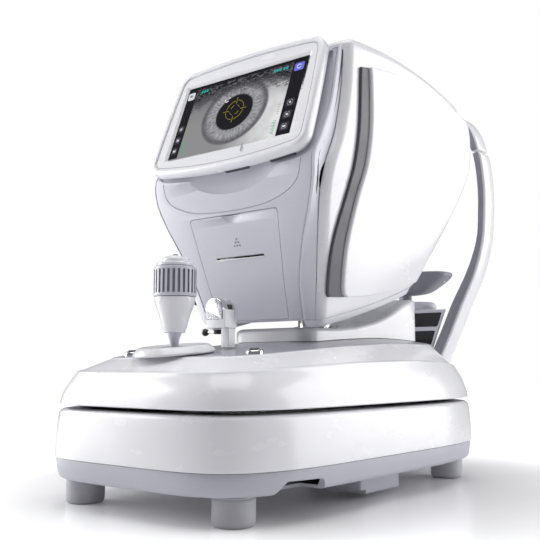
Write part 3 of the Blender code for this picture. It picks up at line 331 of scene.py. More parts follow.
def along(points, value):
    """Reads a curve given as (position, height) pairs, on a smooth curve through them."""
    if value <= points[0][0]:
        return points[0][1]
    if value >= points[-1][0]:
        return points[-1][1]
    for i in range(len(points) - 1):
        if value <= points[i + 1][0]:
            break
    (a, low), (b, high) = points[i], points[i + 1]
    before, after = points[max(i - 1, 0)], points[min(i + 2, len(points) - 1)]
    span = b - a
    slope_in = (high - before[1]) / (b - before[0]) * span
    slope_out = (after[1] - low) / (after[0] - a) * span
    t = (value - a) / span
    return hermite(t, low, slope_in, high, slope_out)


def straight(points, value):
    if value <= points[0][0]:
        return points[0][1]
    for (a, low), (b, high) in zip(points, points[1:]):
        if value <= b:
            return low + (high - low) * (value - a) / (b - a)
    return points[-1][1]


def denser(rows, per=4):
    """Adds in-between rows on a smooth curve through the given rows of numbers."""
    out = []
    for i in range(len(rows) - 1):
        before, after = rows[max(i - 1, 0)], rows[min(i + 2, len(rows) - 1)]
        for k in range(per):
            t = k / per
            row = []
            for p0, p1, p2, p3 in zip(before, rows[i], rows[i + 1], after):
                m1, m2 = (p2 - p0) / 2, (p3 - p1) / 2
                row.append(hermite(t, p1, m1, p2, m2))
            out.append(tuple(row))
    out.append(tuple(rows[-1]))
    return out


def shade(mesh, sharp):
    mesh.shade_smooth()
    mesh.set_sharp_from_angle(angle=math.radians(sharp))


def finish(name, bm, material, body=None, node=(), slot=None, sharp=35):
    """Makes a piece from a bmesh in the base's frame, and says what it rides on and stands for."""
    bmesh.ops.recalc_face_normals(bm, faces=bm.faces)
    mesh = bpy.data.meshes.new(name)
    bmesh.ops.translate(bm, vec=SHIFT, verts=bm.verts)
    bm.to_mesh(mesh)
    bm.free()
    shade(mesh, sharp)
    obj = bpy.data.objects.new(name, mesh)
    bpy.context.scene.collection.objects.link(obj)
    if material:
        mesh.materials.append(MATERIALS[material])
    if body:
        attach(obj, body)
    nodes = (node,) if isinstance(node, str) else tuple(node)
    if nodes:
        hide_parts(*nodes)
    return obj


def settle(obj):
    """Applies an object's modifiers to its mesh."""
    graph = bpy.context.evaluated_depsgraph_get()
    mesh = bpy.data.meshes.new_from_object(obj.evaluated_get(graph), depsgraph=graph)
    old = obj.data
    obj.modifiers.clear()
    obj.data = mesh
    mesh.name = obj.name
    bpy.data.meshes.remove(old)


def carve(obj, *cutters, operation="DIFFERENCE", sharp=35, edge=0.0, segments=2):
    """Cuts helpers out of a piece, or joins them to it, and removes the helpers."""
    for cutter in cutters:
        modifier = obj.modifiers.new("cut", "BOOLEAN")
        modifier.operation = operation
        modifier.object = cutter
        modifier.solver = "EXACT"
    if edge:
        soften(obj, edge, segments)
    settle(obj)
    for cutter in cutters:
        mesh = cutter.data
        bpy.data.objects.remove(cutter)
        bpy.data.meshes.remove(mesh)
    shade(obj.data, sharp)
    return obj


def soften(obj, width, segments=2, angle=40):
    modifier = obj.modifiers.new("edges", "BEVEL")
    modifier.width = width
    modifier.segments = segments
    modifier.limit_method = "ANGLE"
    modifier.angle_limit = math.radians(angle)
    return obj


def skin(rings, closed=False):
    """Skins closed rings. Point i mirrors point N-1-i. Open skins are capped with strips across X."""
    bm = bmesh.new()
    loops = [[bm.verts.new(point) for point in ring] for ring in rings]
    count = len(rings[0])
    pairs = list(zip(loops, loops[1:])) + ([(loops[-1], loops[0])] if closed else [])
    for low, high in pairs:
        for i in range(count):
            j = (i + 1) % count
            bm.faces.new((low[i], low[j], high[j], high[i]))
    if not closed:
        for loop in (loops[0], loops[-1]):
            for i in range(count // 2 - 1):
                bm.faces.new((loop[i], loop[i + 1], loop[count - 2 - i], loop[count - 1 - i]))
    return bm


def close_slab(bm, near, far):
    """Closes two matching loops into a solid: both ends, then the sides."""
    bm.faces.new(near)
    bm.faces.new(far[::-1])
    for i in range(len(near)):
        j = (i + 1) % len(near)
        bm.faces.new((near[i], near[j], far[j], far[i]))


def close_ribbon(bm, rows):
    """Closes two matching rows, each an edge followed by its other edge backwards, into a curved strip."""
    count = len(rows[0]) // 2
    for row in rows:
        for i in range(count - 1):
            bm.faces.new((row[i], row[i + 1], row[2 * count - 2 - i], row[2 * count - 1 - i]))
    for i in range(2 * count):
        j = (i + 1) % (2 * count)
        bm.faces.new((rows[0][i], rows[0][j], rows[1][j], rows[1][i]))


def oval(half_width, front, rear, height, squareness=SQUARENESS, count=144):
    ring = []
    for i in range(count):
        angle = -math.pi / 2 + (i + 0.5) * 2 * math.pi / count
        c, s = math.cos(angle), math.sin(angle)
        x = half_width * math.copysign(abs(c) ** (2 / squareness), c)
        y = (front + rear) / 2 + (rear - front) / 2 * math.copysign(abs(s) ** (2 / squareness), s)
        ring.append(Vector((x, y, height(x, y) if callable(height) else height)))
    return ring


def base_oval(inset, height):
    return oval(HALF_WIDTH - inset, -HALF_DEPTH + inset, HALF_DEPTH - inset, height)


def round_ring(half_width, front, rear, front_radius, rear_radius, height, steps=8, side=8):
    right = []
    for centre_y, radius, start in ((front + front_radius, front_radius, -90),
                                    (rear - rear_radius, rear_radius, 0)):
        for i in range(steps + 1):
            angle = math.radians(start + 90 * i / steps)
            right.append((half_width - radius + radius * math.cos(angle),
                          centre_y + radius * math.sin(angle)))
        if start < 0:
            low, high = front + front_radius, rear - rear_radius
            right += [(half_width, low + (high - low) * i / (side + 1)) for i in range(1, side + 1)]
    outline = right + [(-x, y) for x, y in reversed(right)]
    return [Vector((x, y, height(x, y) if callable(height) else height)) for x, y in outline]


def box(name, low, high, material=None, edge=0.0, segments=3, **about):
    bm = bmesh.new()
    bmesh.ops.create_cube(bm, size=1)
    for vert in bm.verts:
        vert.co = Vector(low[k] if vert.co[k] < 0 else high[k] for k in range(3))
    if edge:
        bmesh.ops.bevel(bm, geom=bm.edges[:], offset=edge, segments=segments, affect="EDGES", profile=0.6)
    return finish(name, bm, material, **about)


def turned_mesh(profile, segments=64):
    bm = bmesh.new()
    rows = []
    for radius, height in profile:
        if radius < 1e-6:
            rows.append([bm.verts.new((0, 0, height))])
        else:
            turn = [2 * math.pi * k / segments for k in range(segments)]
            rows.append([bm.verts.new((radius * math.cos(a), radius * math.sin(a), height)) for a in turn])
    for low, high in zip(rows, rows[1:] + rows[:1]):
        if len(low) == len(high) == 1:
            continue
        for k in range(segments):
            m = (k + 1) % segments
            corners = (low[k % len(low)], low[m % len(low)], high[m % len(high)], high[k % len(high)])
            bm.faces.new(list(dict.fromkeys(corners)))
    return bm


def turned(name, profile, centre, material=None, segments=64, axis="Z", lean=0.0, **about):
    """Turns (radius, height) points about an axis through centre. The profile is a closed loop."""
    bm = turned_mesh(profile, segments)
    turn = {"Z": Matrix(), "X": Matrix.Rotation(math.pi / 2, 4, "Y"),
            "Y": Matrix.Rotation(-math.pi / 2, 4, "X")}
    matrix = Matrix.Translation(centre) @ Matrix.Rotation(lean, 4, "X") @ turn[axis]
    bmesh.ops.transform(bm, matrix=matrix, verts=bm.verts)
    return finish(name, bm, material, **about)


def prism(name, outline, near, far, material=None, edge=0.0, **about):
    """An outline in (x, z), front view, made solid from near to far along Y."""
    bm = bmesh.new()
    front = [bm.verts.new((x, near, z)) for x, z in outline]
    back = [bm.verts.new((x, far, z)) for x, z in outline]
    close_slab(bm, front, back)
    if edge:
        flat = [e for e in bm.edges if abs(e.verts[0].co.y - e.verts[1].co.y) < 1e-6]
        bmesh.ops.bevel(bm, geom=flat, offset=edge, segments=3, affect="EDGES", profile=0.6)
    return finish(name, bm, material, **about)


def above(level, profile):
    """A turning profile whose heights are counted from a level."""
    return [(radius, level + height) for radius, height in profile]


def mirrored(right):
    return list(right) + [(-x, z) for x, z in reversed(right)]


def rounded(points, radius, steps=5):
    """Rounds the corners of a closed outline."""
    out = []
    count = len(points)
    for i in range(count):
        before, here, after = (Vector(points[(i + k) % count]) for k in (-1, 0, 1))
        r = radius[i] if isinstance(radius, (list, tuple)) else radius
        to_a, to_b = (before - here), (after - here)
        r = min(r, to_a.length * 0.45, to_b.length * 0.45)
        start, end = here + to_a.normalized() * r, here + to_b.normalized() * r
        for k in range(steps + 1):
            t = k / steps
            point = start * (1 - t) ** 2 + here * 2 * t * (1 - t) + end * t**2
            out.append((point.x, point.y))
    return out


# ---- base ----
def shell_of_revolution(name, outer, inner, material, **about):
    """A hollow ring skinned up its outer curve and back down its inner one; each entry is (inset, height)."""
    rings = [base_oval(inset, z) for inset, z in denser(outer, 3)] + [base_oval(inset, z)
                                                                      for inset, z in inner]
    return finish(name, skin(rings, closed=True), material, **about)


def tray():
    outer = [(0.0085, TRAY_BOTTOM), (0.006, TRAY_BOTTOM + 0.0006), (0.004, TRAY_BOTTOM + 0.0022),
             (0.003, TRAY_BOTTOM + 0.005), (0.0022, 0.033), (0.0012, 0.0405), (0.0016, TRAY_TOP)]
    inner = [(0.004, TRAY_TOP), (0.007, TRAY_BOTTOM + 0.008), (0.0105, TRAY_BOTTOM + 0.0028)]
    walls = [base_oval(inset, z) for inset, z in outer + inner]
    body = finish("tray", skin(walls), "tray", "base", "base_tray", "grey")
    notch = [(-0.1705, 0.015), (-0.169, 0.025), (-0.16, 0.0335), (-0.1585, 0.0341), (-0.1185, 0.0332),
             (-0.1168, 0.0322), (-0.1125, 0.0235), (-0.112, 0.015)]
    bm = bmesh.new()
    near, far = ([bm.verts.new((x, y, z)) for y, z in notch] for x in (0.104, 0.142))
    close_slab(bm, near, far)
    cutter = finish("notch_cutter", bm, None)
    carve(body, cutter)
    # Black box behind the tray notch: painted shade where the notch opens into the hollow tray.
    box("tray_notch_painted_shade", (0.099, -0.17, 0.0255), (0.103, -0.112, 0.0362), "dark", 0.0006, body="base")
    cover = box("underside_cover", (0.045, -0.021, 0.005), (0.105, 0.05, TRAY_BOTTOM + 0.0004), "tray",
                0.0022, body="base")
    carve(cover, box("cover_step", (0.045, -0.04, 0.001), (0.11, -0.012, 0.0095), None, 0.001))
    box("underside_rail", (0.096, 0.056, 0.0178), (0.106, 0.148, TRAY_BOTTOM + 0.0004), "white_satin",
        0.0024, body="base")
    for k in range(9):
        y = -0.008 + 0.0062 * k
        box(f"underside_vent_{k + 1}", (0.056, y, 0.0046), (0.084, y + 0.0026, 0.0056), "groove", 0.0003,
            body="base")


def lower_shell():
    outer = [(0.0012, SHELL_BOTTOM), (0.0003, SHELL_BOTTOM + 0.0004), (0.0, SHELL_BOTTOM + 0.0014),
             (0.0002, 0.052), (0.0007, 0.064), (0.0014, 0.074), (0.0023, 0.0812), (0.0034, 0.0838),
             (0.0054, 0.0854), (0.009, 0.0859)]
    inner = [(0.018, 0.0858), (0.0183, 0.084), (0.0075, 0.0815), (0.0048, 0.064), (0.0035, 0.044)]
    shell = shell_of_revolution("lower_shell", outer, inner, "white", body="base", node="base_lower_shell",
                                slot="white")
    inlet = box("inlet_cutter", (-0.099, 0.18, 0.0525), (-0.071, 0.24, 0.0735), None, 0.0015)
    switch = box("switch_cutter", (-0.14, 0.112, 0.056), (-0.12, 0.136, 0.07), None, 0.001)
    carve(shell, inlet, switch)
    seam = [base_oval(0.0022, TRAY_TOP - 0.0004), base_oval(0.0022, SHELL_BOTTOM + 0.0004),
            base_oval(0.0045, SHELL_BOTTOM + 0.0004), base_oval(0.0045, TRAY_TOP - 0.0004)]
    finish("shell_seam", skin(seam, closed=True), "groove", "base")


def feet():
    for side, sx in (("left", -1), ("right", 1)):
        for end, sy in (("front", -1), ("rear", 1)):
            profile = [(0, 0.0003), (0.0125, 0.0003), (0.0145, 0.0), (0.0158, 0.0004), (0.017, 0.0018),
                       (0.01745, 0.004), (FOOT_RADIUS, 0.02), (0.0172, 0.0212), (0.0166, 0.0216),
                       (0.0166, 0.0232), (0, 0.0232)]
            turned(f"foot_{end}_{side}_moulding", profile, (sx * FOOT_X, sy * FOOT_Y, 0), "foot", 64,
                   body="base", node=f"foot_{end}_{side}", slot="rubber")


def sockets():
    inlet = box("inlet_moulding", (-0.0985, 0.197, 0.053), (-0.0715, 0.217, 0.073), "dark", 0.0009,
                body="base", node="mains_inlet", slot="dark")
    outline = mirrored([(0.0055, -0.006), (0.0093, -0.0022), (0.0093, 0.006)])
    socket = [(x - 0.085, z + 0.063) for x, z in rounded(outline, 0.0012)]
    carve(inlet, prism("socket_cutter", socket, 0.201, 0.23))
    for k, (x, z) in enumerate(((-0.0905, 0.061), (-0.085, 0.065), (-0.0795, 0.061))):
        box(f"inlet_blade_{k + 1}", (x - 0.0005, 0.2005, z - 0.002), (x + 0.0005, 0.213, z + 0.002),
            "chrome", 0.0002, body="base")
    rocker = [(-0.0042, -0.0105), (0.0015, -0.0105), (0.0015, 0.0105), (-0.006, 0.0105), (-0.004, 0.0)]
    bm = bmesh.new()
    low, high = ([bm.verts.new((-0.129 + x, 0.124 + y, z)) for x, y in rocker] for z in (0.0577, 0.0683))
    close_slab(bm, low, high)
    piece = finish("rocker", bm, "dark", "power_switch", "power_switch", "dark")
    soften(piece, 0.0005, 3)
    settle(piece)


# ---- stage ----
def ridge(x, y):
    return along(RIDGE_HEIGHTS, y)


def deck(x, y):
    return along(DECK_HEIGHTS, y) + along(DECK_CROWNS, y) * max(0.0, 1 - (x / DECK_HALF_WIDTH) ** 2)


def deck_oval(inset, lift):
    return oval(DECK_HALF_WIDTH - inset, DECK_FRONT + inset, DECK_REAR - inset,
                lambda x, y: deck(x, y) + lift)


def between(t, low, high):
    return [a.lerp(b, t) for a, b in zip(low, high)]


def skirt():
    bottom = base_oval(0.0026, SKIRT_BOTTOM + 0.0012)
    crest = base_oval(RIDGE_INSET - 0.001, lambda x, y: ridge(x, y) - 0.0022)
    rings = [base_oval(0.0044, SKIRT_BOTTOM), base_oval(0.0032, SKIRT_BOTTOM + 0.0003), bottom]
    for t in (0.15, 0.3, 0.45, 0.6, 0.75, 0.88):
        ring = between(t, bottom, crest)
        push = 0.0022 * math.sin(math.pi * t)
        rings.append([Vector((p.x * (1 + push / HALF_WIDTH), p.y * (1 + push / HALF_DEPTH), p.z))
                      for p in ring])
    rings.append(crest)
    rings.append(base_oval(RIDGE_INSET - 0.0004, lambda x, y: ridge(x, y) - 0.0008))
    rings.append(base_oval(RIDGE_INSET + 0.0008, ridge))
    ledge = base_oval(RIDGE_INSET + 0.0036, lambda x, y: ridge(x, y) + 0.0006)
    rings.append(base_oval(RIDGE_INSET + 0.0028, lambda x, y: ridge(x, y) + 0.0005))
    rim = deck_oval(-0.0012, -0.0012)
    rings.append(ledge)
    for t in (0.08, 0.35, 0.65, 0.9):
        rings.append(between(t, ledge, rim))
    rings += [rim, deck_oval(-0.0004, -0.0003), deck_oval(0.0008, 0.0), deck_oval(0.003, -0.0002)]
    rings += [deck_oval(0.003, -0.0036), base_oval(RIDGE_INSET + 0.006, lambda x, y: ridge(x, y) - 0.005),
              base_oval(0.009, 0.101), base_oval(0.007, SKIRT_BOTTOM)]
    finish("skirt", skin(rings, closed=True), "white", "stage", "stage_skirt", "white", 28)


def deck_plate():
    under = [deck_oval(inset, -0.003) for inset in (0.072, 0.05, 0.03, 0.015, 0.0034)]
    over = [deck_oval(inset, 0.0) for inset in (0.0046, 0.009, 0.015, 0.022, 0.03, 0.04, 0.05, 0.06, 0.072)]
    plate = finish("deck_moulding", skin(under + [deck_oval(0.0034, -0.001)] + over), "deck", "stage",
                   "stage_deck", "mid_grey")
    holes = [turned("hole", [(0, 0.1), (r, 0.1), (r, 0.17), (0, 0.17)], (x, y, 0), None, 48)
             for x, y, r in ((0, -0.16, 0.0135), (0, COLUMN_Y, COLUMN_HOLE), (-BUTTON_X, BUTTON_Y, 0.0058),
                             (BUTTON_X, BUTTON_Y, 0.0058))]
    carve(plate, *holes)


def deck_buttons():
    for side, x in (("left", -BUTTON_X), ("right", BUTTON_X)):
        top = deck(x, BUTTON_Y)
        lean = math.atan2(deck(x, BUTTON_Y + 0.01) - deck(x, BUTTON_Y - 0.01), 0.02)
        rim = [(0.0052, -0.0022), (0.008, -0.0022), (0.008, 0.0012), (0.0078, 0.0022), (0.0071, 0.003),
               (0.0062, 0.0033), (0.0055, 0.0031), (0.0052, 0.0026)]
        turned(f"button_{side}_rim", rim, (x, BUTTON_Y, top), "chrome", 64, lean=lean, body="stage")
        cap = [(0, -0.0026), (0.0047, -0.0026), (0.0047, 0.0032), (0.0045, 0.004), (0.0039, 0.0045),
               (0.0026, 0.0041), (0.0012, 0.0038), (0, 0.0037)]
        turned(f"button_{side}_cap", cap, (x, BUTTON_Y, top), "piano", 64, lean=lean, body=f"button_{side}",
               node=f"deck_button_{side}", slot="black_gloss")


def turret():
    def ring(inset, height):
        return round_ring(TURRET_HALF_WIDTH - inset, TURRET_FRONT + inset, TURRET_REAR - inset, 0.019,
                          0.012, height, 12, 24)

    def top(lift):
        return lambda x, y: along(TURRET_TOPS, y) + lift

    def foot(lift):
        return lambda x, y: deck(x, y) + lift

    rings = [ring(0.0, foot(0.0006)), ring(0.0, foot(0.003)), ring(0.0, top(-0.005)),
             ring(0.0003, top(-0.0034)), ring(0.001, top(-0.002)), ring(0.0022, top(-0.0009)),
             ring(0.0038, top(-0.0002)), ring(0.006, top(0.0)), ring(0.016, top(0.0002)),
             ring(0.02, top(-0.003)), ring(0.004, top(-0.006)), ring(0.003, foot(0.003)),
             ring(0.003, foot(0.0006))]
    shell = finish("turret", skin(rings, closed=True), "white", "stage", "turret_shell", "white")
    plate = finish("turret_top_plate",
                   skin([ring(0.015, top(-0.003)), ring(0.015, top(0.0)), ring(0.0165, top(0.0004))]),
                   "white_satin", "stage")
    hole = turned("column_hole", [(0, 0.12), (COLUMN_HOLE, 0.12), (COLUMN_HOLE, 0.22), (0, 0.22)],
                  (0, COLUMN_Y, 0), None, 64)
    carve(plate, hole)
    foot_seam = [ring(0.001, foot(0.0001)), ring(0.001, foot(0.0009)), ring(0.003, foot(0.0009)),
                 ring(0.003, foot(0.0001))]
    finish("turret_foot_seam", skin(foot_seam, closed=True), "groove", "stage")
    return shell


def boot():
    profile = [(0.014, 0.0008), (0.0357, 0.0008), (0.0365, 0.0014), (0.0366, 0.0026), (0.0355, 0.004),
               (0.0335, 0.0062), (0.0322, 0.0072), (0.0305, 0.0079), (0.0286, 0.0081), (0.0268, 0.0079),
               (0.024, 0.0071), (0.02, 0.0062), (0.017, 0.0058), (0.014, 0.0056)]
    lean = math.atan2(deck(0, STICK.y + 0.03) - deck(0, STICK.y - 0.02), 0.05)
    turned("stick_boot", profile, (0, STICK.y, deck(0, STICK.y)), "white", 96, lean=lean, body="stage",
           node="joystick_boot", slot="light_grey")
    folds = [(0.0062, 0.0058)]
    for k in range(5):
        r = 0.0072 + 0.0022 * k
        folds += [(r, 0.0074 - 0.0002 * k), (r + 0.0011, 0.005 - 0.0002 * k)]
    folds += [(0.018, 0.006), (0.018, 0.0036), (0.0062, 0.0036)]
    turned("stick_bellows", folds, (0, STICK.y, deck(0, STICK.y)), "foot", 64, lean=lean, body="stage")


def clamp():
    """A block between the joystick and the turret, with rounded cheeks and a ball-ended lever."""
    x, y, z = CLAMP
    block = box("clamp_block", (x - 0.0112, y - 0.0098, z + 0.004), (x + 0.0122, y + 0.007, z + 0.0215),
                "white", 0.0012, body="stage", node="lock_bracket", slot="white")
    stalk = box("stalk", (x + 0.0012, y - 0.0033, deck(x, y) + 0.0012), (x + 0.0108, y + 0.0068, z + 0.006),
                None, 0.001)
    carve(block, stalk, operation="UNION")
    for name, low, high, radius in (("front", -0.0105, -0.0022, 0.0108), ("rear", 0.0032, 0.0084, 0.0122)):
        outline = [(x - radius, z + 0.012)]
        for k in range(17):
            angle = math.pi - math.pi * k / 16
            outline.append((x + radius * math.cos(angle), z + 0.0326 - radius + radius * math.sin(angle)))
        outline.append((x + radius, z + 0.012))
        cheek = [(px + (0.0008 if name == "rear" else -0.0012), pz) for px, pz in outline]
        prism(f"clamp_{name}_cheek", cheek, y + low, y + high, "cover" if name == "rear" else "chrome",
              0.0011, body="stage")
    prism("clamp_gap", [(x - 0.0095, z + 0.013), (x - 0.0095, z + 0.0262), (x + 0.0095, z + 0.0262),
                        (x + 0.0095, z + 0.013)],
          y - 0.0022, y + 0.0032, "groove", body="stage")
    hub = [(0, -0.001), (0.004, -0.001), (0.0045, -0.0004), (0.0045, 0.0024), (0.004, 0.003), (0, 0.003)]
    turned("lever_hub", hub, (x - 0.005, y, z), "dark", 32, body="lock_lever", node="lock_lever",
           slot="dark")
    wire = [(0, -0.015), (0.0009, -0.015), (0.0011, -0.014), (0.0011, 0.0), (0, 0.0)]
    turned("lever_rod", wire, (x - 0.005, y, z + 0.001), "chrome", 24, "X", body="lock_lever")
    ball = [(0.0036 * math.sin(math.pi * k / 16), -0.0036 * math.cos(math.pi * k / 16)) for k in range(17)]
    turned("lever_ball", ball, (x - 0.0215, y, z + 0.001), "piano", 40, body="lock_lever")


# ---- joystick ----
def joystick():
    neck = [(0, 0.1226), (0.0036, 0.1226), (0.0036, 0.133), (0.0038, 0.142), (0.0044, 0.147),
            (0.0056, 0.15), (0.0064, 0.1526), (0.0064, 0.184), (0, 0.184)]
    turned("stick_neck", neck, STICK, "cover", 64, body="joystick", node="joystick_shaft",
           slot="light_grey")
    cap = above(RING_TOP,
                [(0.003, 0.0006), (0.016, 0.0006), (0.0166, 0.001), (0.0166, 0.003), (0.016, 0.0038),
                 (0.0122, 0.0044), (0.012, 0.0062), (0.0112, 0.0078), (0.009, 0.0091), (0.0062, 0.0099),
                 (0.0042, 0.0103), (0.003, 0.01)])
    turned("stick_cap", cap, STICK, "white", 80, body="joystick", slot="light_grey")
    grip = [(0.0068, 0.153), (0.0088, 0.153), (0.0094, 0.1534), (0.0097, 0.1544), (0.0099, 0.1556),
            (0.0104, 0.1562), (0.012, 0.162), (0.0143, 0.17), (0.0162, 0.1752), (0.0176, 0.179),
            (0.0183, 0.1818), (0.0185, 0.1836), (0.0183, 0.1845), (0.0068, 0.1845)]
    turned("stick_grip", grip, STICK, "white", 96, body="joystick", node="joystick_grip", slot="white")
    button = above(RING_TOP,
                   [(0, 0.0062), (0.0025, 0.0062), (0.0026, 0.0108), (0.0022, 0.0114), (0.001, 0.0116),
                    (0, 0.0116)])
    turned("stick_button", button, STICK, "piano", 40, body="joystick_button", node="joystick_button",
           slot="dark")
    height_ring()


def height_ring(ribs=26, per=10):
    """The height ring: smooth bands above and below a belt of ribs, the groove faces between them given a
    darker material as painted shade.
    """
    count = ribs * per

    def circle(radius, z, groove=0.0):
        points = []
        for k in range(count):
            phase = (k % per + 0.5) / per
            depth = groove * min(1.0, max(0.0, (0.24 - abs(phase - 0.5)) / 0.05))
            angle = 2 * math.pi * (k + 0.5) / count
            points.append(Vector(((radius - depth) * math.cos(angle), (radius - depth) * math.sin(angle),
                                  z)) + STICK)
        return points

    low, high, r = RING_BOTTOM, RING_TOP, RING_RADIUS
    rows = [circle(0.0068, low), circle(r - 0.0016, low), circle(r - 0.0004, low + 0.0004),
            circle(r, low + 0.0012), circle(r, low + 0.003), circle(r, low + 0.0034, 0.0009),
            circle(r, low + 0.0044, 0.0016), circle(r, high - 0.0044, 0.0016),
            circle(r, high - 0.0034, 0.0009), circle(r, high - 0.003), circle(r, high - 0.0012),
            circle(r - 0.0004, high - 0.0004), circle(r - 0.0016, high), circle(0.0068, high)]
    bm = bmesh.new()
    loops = [[bm.verts.new(p) for p in row] for row in rows]
    # Faces inside the grooves are collected here for the darker lining material: painted shade in the
    # grooves.
    dark = []
    for index, (a, b) in enumerate(zip(loops, loops[1:] + loops[:1])):
        for k in range(count):
            m = (k + 1) % count
            face = bm.faces.new((a[k], a[m], b[m], b[k]))
            if 4 <= index <= 8 and abs((k % per + 1) / per - 0.5) < 0.22:
                dark.append(face)
    for face in dark:
        face.material_index = 1
    ring = finish("stick_height_ring", bm, "cover", "joystick_ring", "joystick_ring", "light_grey", 30)
    # Second material, the darker lining: painted shade on the groove faces.
    ring.data.materials.append(MATERIALS["lining"])


# ---- head ----
def head_ring(station, inset=0.0, lift=0.0, front_extra=0.0):
    low_z, front, high_z, rear, half_width, arch = station

    def height(x, y):
        t = (y - front) / (rear - front)
        return low_z + (high_z - low_z) * t + arch * 4 * t * (1 - t) + lift

    return round_ring(half_width - inset, front + inset - front_extra, rear - inset, 0.009, 0.026 - inset,
                      height, 8, 12)


def casing_half_width(y, z):
    levels = []
    for low_z, front, high_z, rear, half_width, arch in HEAD:
        t = (y - front) / (rear - front)
        levels.append((low_z + (high_z - low_z) * t + arch * 4 * t * (1 - t), half_width))
    return along(levels, z)


def casing_front(z):
    return along([(station[0], station[1]) for station in HEAD], z)


def seam_y(z):
    return along([(s[0], s[1]) for s in SEAM], z)


def seam_half(z):
    return along([(s[0], s[2]) for s in SEAM], z)


def casing():
    low = HEAD[0]
    foot = [(low[0], low[1] + 0.0012, low[2], low[3] - 0.0012, low[4] - 0.0012, low[5]),
            (low[0] + 0.0012, low[1], low[2] + 0.0012, low[3], low[4], low[5])]
    crown = HEAD[-1]
    top = [(crown[0] + 0.0022, crown[1] + 0.006, crown[2] + 0.0022, crown[3] - 0.007, crown[4] - 0.006,
            crown[5]),
           (crown[0] + 0.003, crown[1] + 0.014, crown[2] + 0.003, crown[3] - 0.016, crown[4] - 0.015,
            crown[5])]
    middle = denser(HEAD, 5)[1:]
    outer = [head_ring(s) for s in foot + middle]
    outer += [head_ring(top[0], lift=-0.0008), head_ring(top[1], lift=-0.0012)]
    shell = finish("casing", skin(outer), "white", "head", "head_casing", "white", 40)
    wall, lip = CASING_WALL, MOUTH_LIP
    hollow = [head_ring(HEAD[0], wall, wall)] + [head_ring(s, wall) for s in denser(HEAD[1:-2], 4)]
    hollow.append(head_ring(HEAD[-2], wall + 0.001, -wall))
    inside = finish("inside", skin(hollow), None)
    opening = [head_ring(HEAD[0], lip, wall, 0.04)] + [head_ring(s, lip, 0, 0.04)
                                                       for s in denser(HEAD[1:-2], 4)]
    opening.append(head_ring(HEAD[-2], lip + 0.001, -wall, 0.04))
    mouth = finish("mouth", skin(opening), None)
    hole = turned("hole", [(0, 0.15), (0.029, 0.15), (0.029, 0.215), (0, 0.215)], (0, COLUMN_Y, 0), None,
                  64)
    nose = turned("nose", [(0, -0.02), (0.031, -0.02), (0.031, 0.02), (0, 0.02)], (0, 0.21, NOSE_HEIGHT),
                  None, 64, "Y")
    carve(shell, inside, mouth, hole, nose, sharp=40)
    rim = [head_ring(HEAD[0], 0.011, -0.008), head_ring(HEAD[0], 0.0082, -0.008),
           head_ring(HEAD[0], 0.006, -0.007), head_ring(HEAD[0], 0.0046, -0.0052),
           head_ring(HEAD[0], 0.0034, -0.003), head_ring(HEAD[0], 0.0022, -0.0012),
           head_ring(HEAD[0], 0.002, -0.0005)]
    under = finish("lower_lip", skin(rim), "white_satin", "head", "head_lower_lip", "white")
    outline = [(-0.056, -0.08), (0.056, -0.08), (0.056, 0.14), (-0.056, 0.14)]
    bm = bmesh.new()
    low_verts, high_verts = ([bm.verts.new((x, y, z)) for x, y in rounded(outline, 0.02, 10)]
                             for z in (0.14, 0.26))
    close_slab(bm, low_verts, high_verts)
    carve(under, finish("lip_cutter", bm, None))


def front_ring(z, half, front, back_half, back, radius=0.0016):
    """A plan section: flat front, rounded corner, a flank running back to the casing."""
    right = [(half - radius, front), (half - radius * 0.45, front + radius * 0.12),
             (half - radius * 0.1, front + radius * 0.5), (half, front + radius),
             ((half + back_half) / 2, (front + radius + back) / 2), (back_half, back)]
    return [Vector((x, y, z)) for x, y in right + [(-x, y) for x, y in reversed(right)]]


def front_solid(name, levels, shape, material, **about):
    return finish(name, skin([front_ring(z, *shape(z)) for z in levels]), material, **about)


def levels_between(low, high, count):
    return [low + (high - low) * k / (count - 1) for k in range(count)]


def display_cutter():
    rings = [display_ring(-0.0014, -0.02), display_ring(-0.0014, DISPLAY_DEPTH + 0.0014)]
    return finish("display_cutter", skin(rings), None)


def u_seam(offset):
    """The curved seam across the front cover under the display, as (x, z) points from left to right."""
    points = ((-0.0895, 0.312), (-0.0865, 0.2985), (-0.079, 0.2895), (-0.064, 0.2822), (-0.04, 0.2765),
              (0.0, 0.2748), (0.04, 0.2765), (0.064, 0.2822), (0.079, 0.2895), (0.0865, 0.2985),
              (0.0895, 0.312))
    return inward(denser(points, 5), lambda i: offset)


def groove_cutter(width, depth):
    """A thin curved wall that cuts the seam under the display."""
    upper, lower = u_seam(width / 2), u_seam(-width / 2)
    bm = bmesh.new()
    rows = []
    for near in (True, False):
        row = []
        for x, z in upper + lower[::-1]:
            row.append(bm.verts.new((x, -0.12 if near else seam_y(z) + depth, z)))
        rows.append(row)
    close_ribbon(bm, rows)
    return finish("groove_cutter", bm, None)


def ellipsoid(name, centre, radii):
    bm = bmesh.new()
    bmesh.ops.create_uvsphere(bm, u_segments=64, v_segments=40, radius=1.0)
    matrix = Matrix.Translation(centre) @ Matrix.Diagonal((*radii, 1.0))
    bmesh.ops.transform(bm, matrix=matrix, verts=bm.verts)
    return finish(name, bm, None)


def door_outline(grow):
    right = [(DOOR_HALF_BOTTOM - 0.0016 + grow, DOOR_BOTTOM - 0.015),
             (DOOR_HALF_TOP - 0.0006 + grow, DOOR_TOP + grow)]
    outline = mirrored(right)
    return rounded(outline, [0.0005, 0.0045, 0.0045, 0.0005], 8)


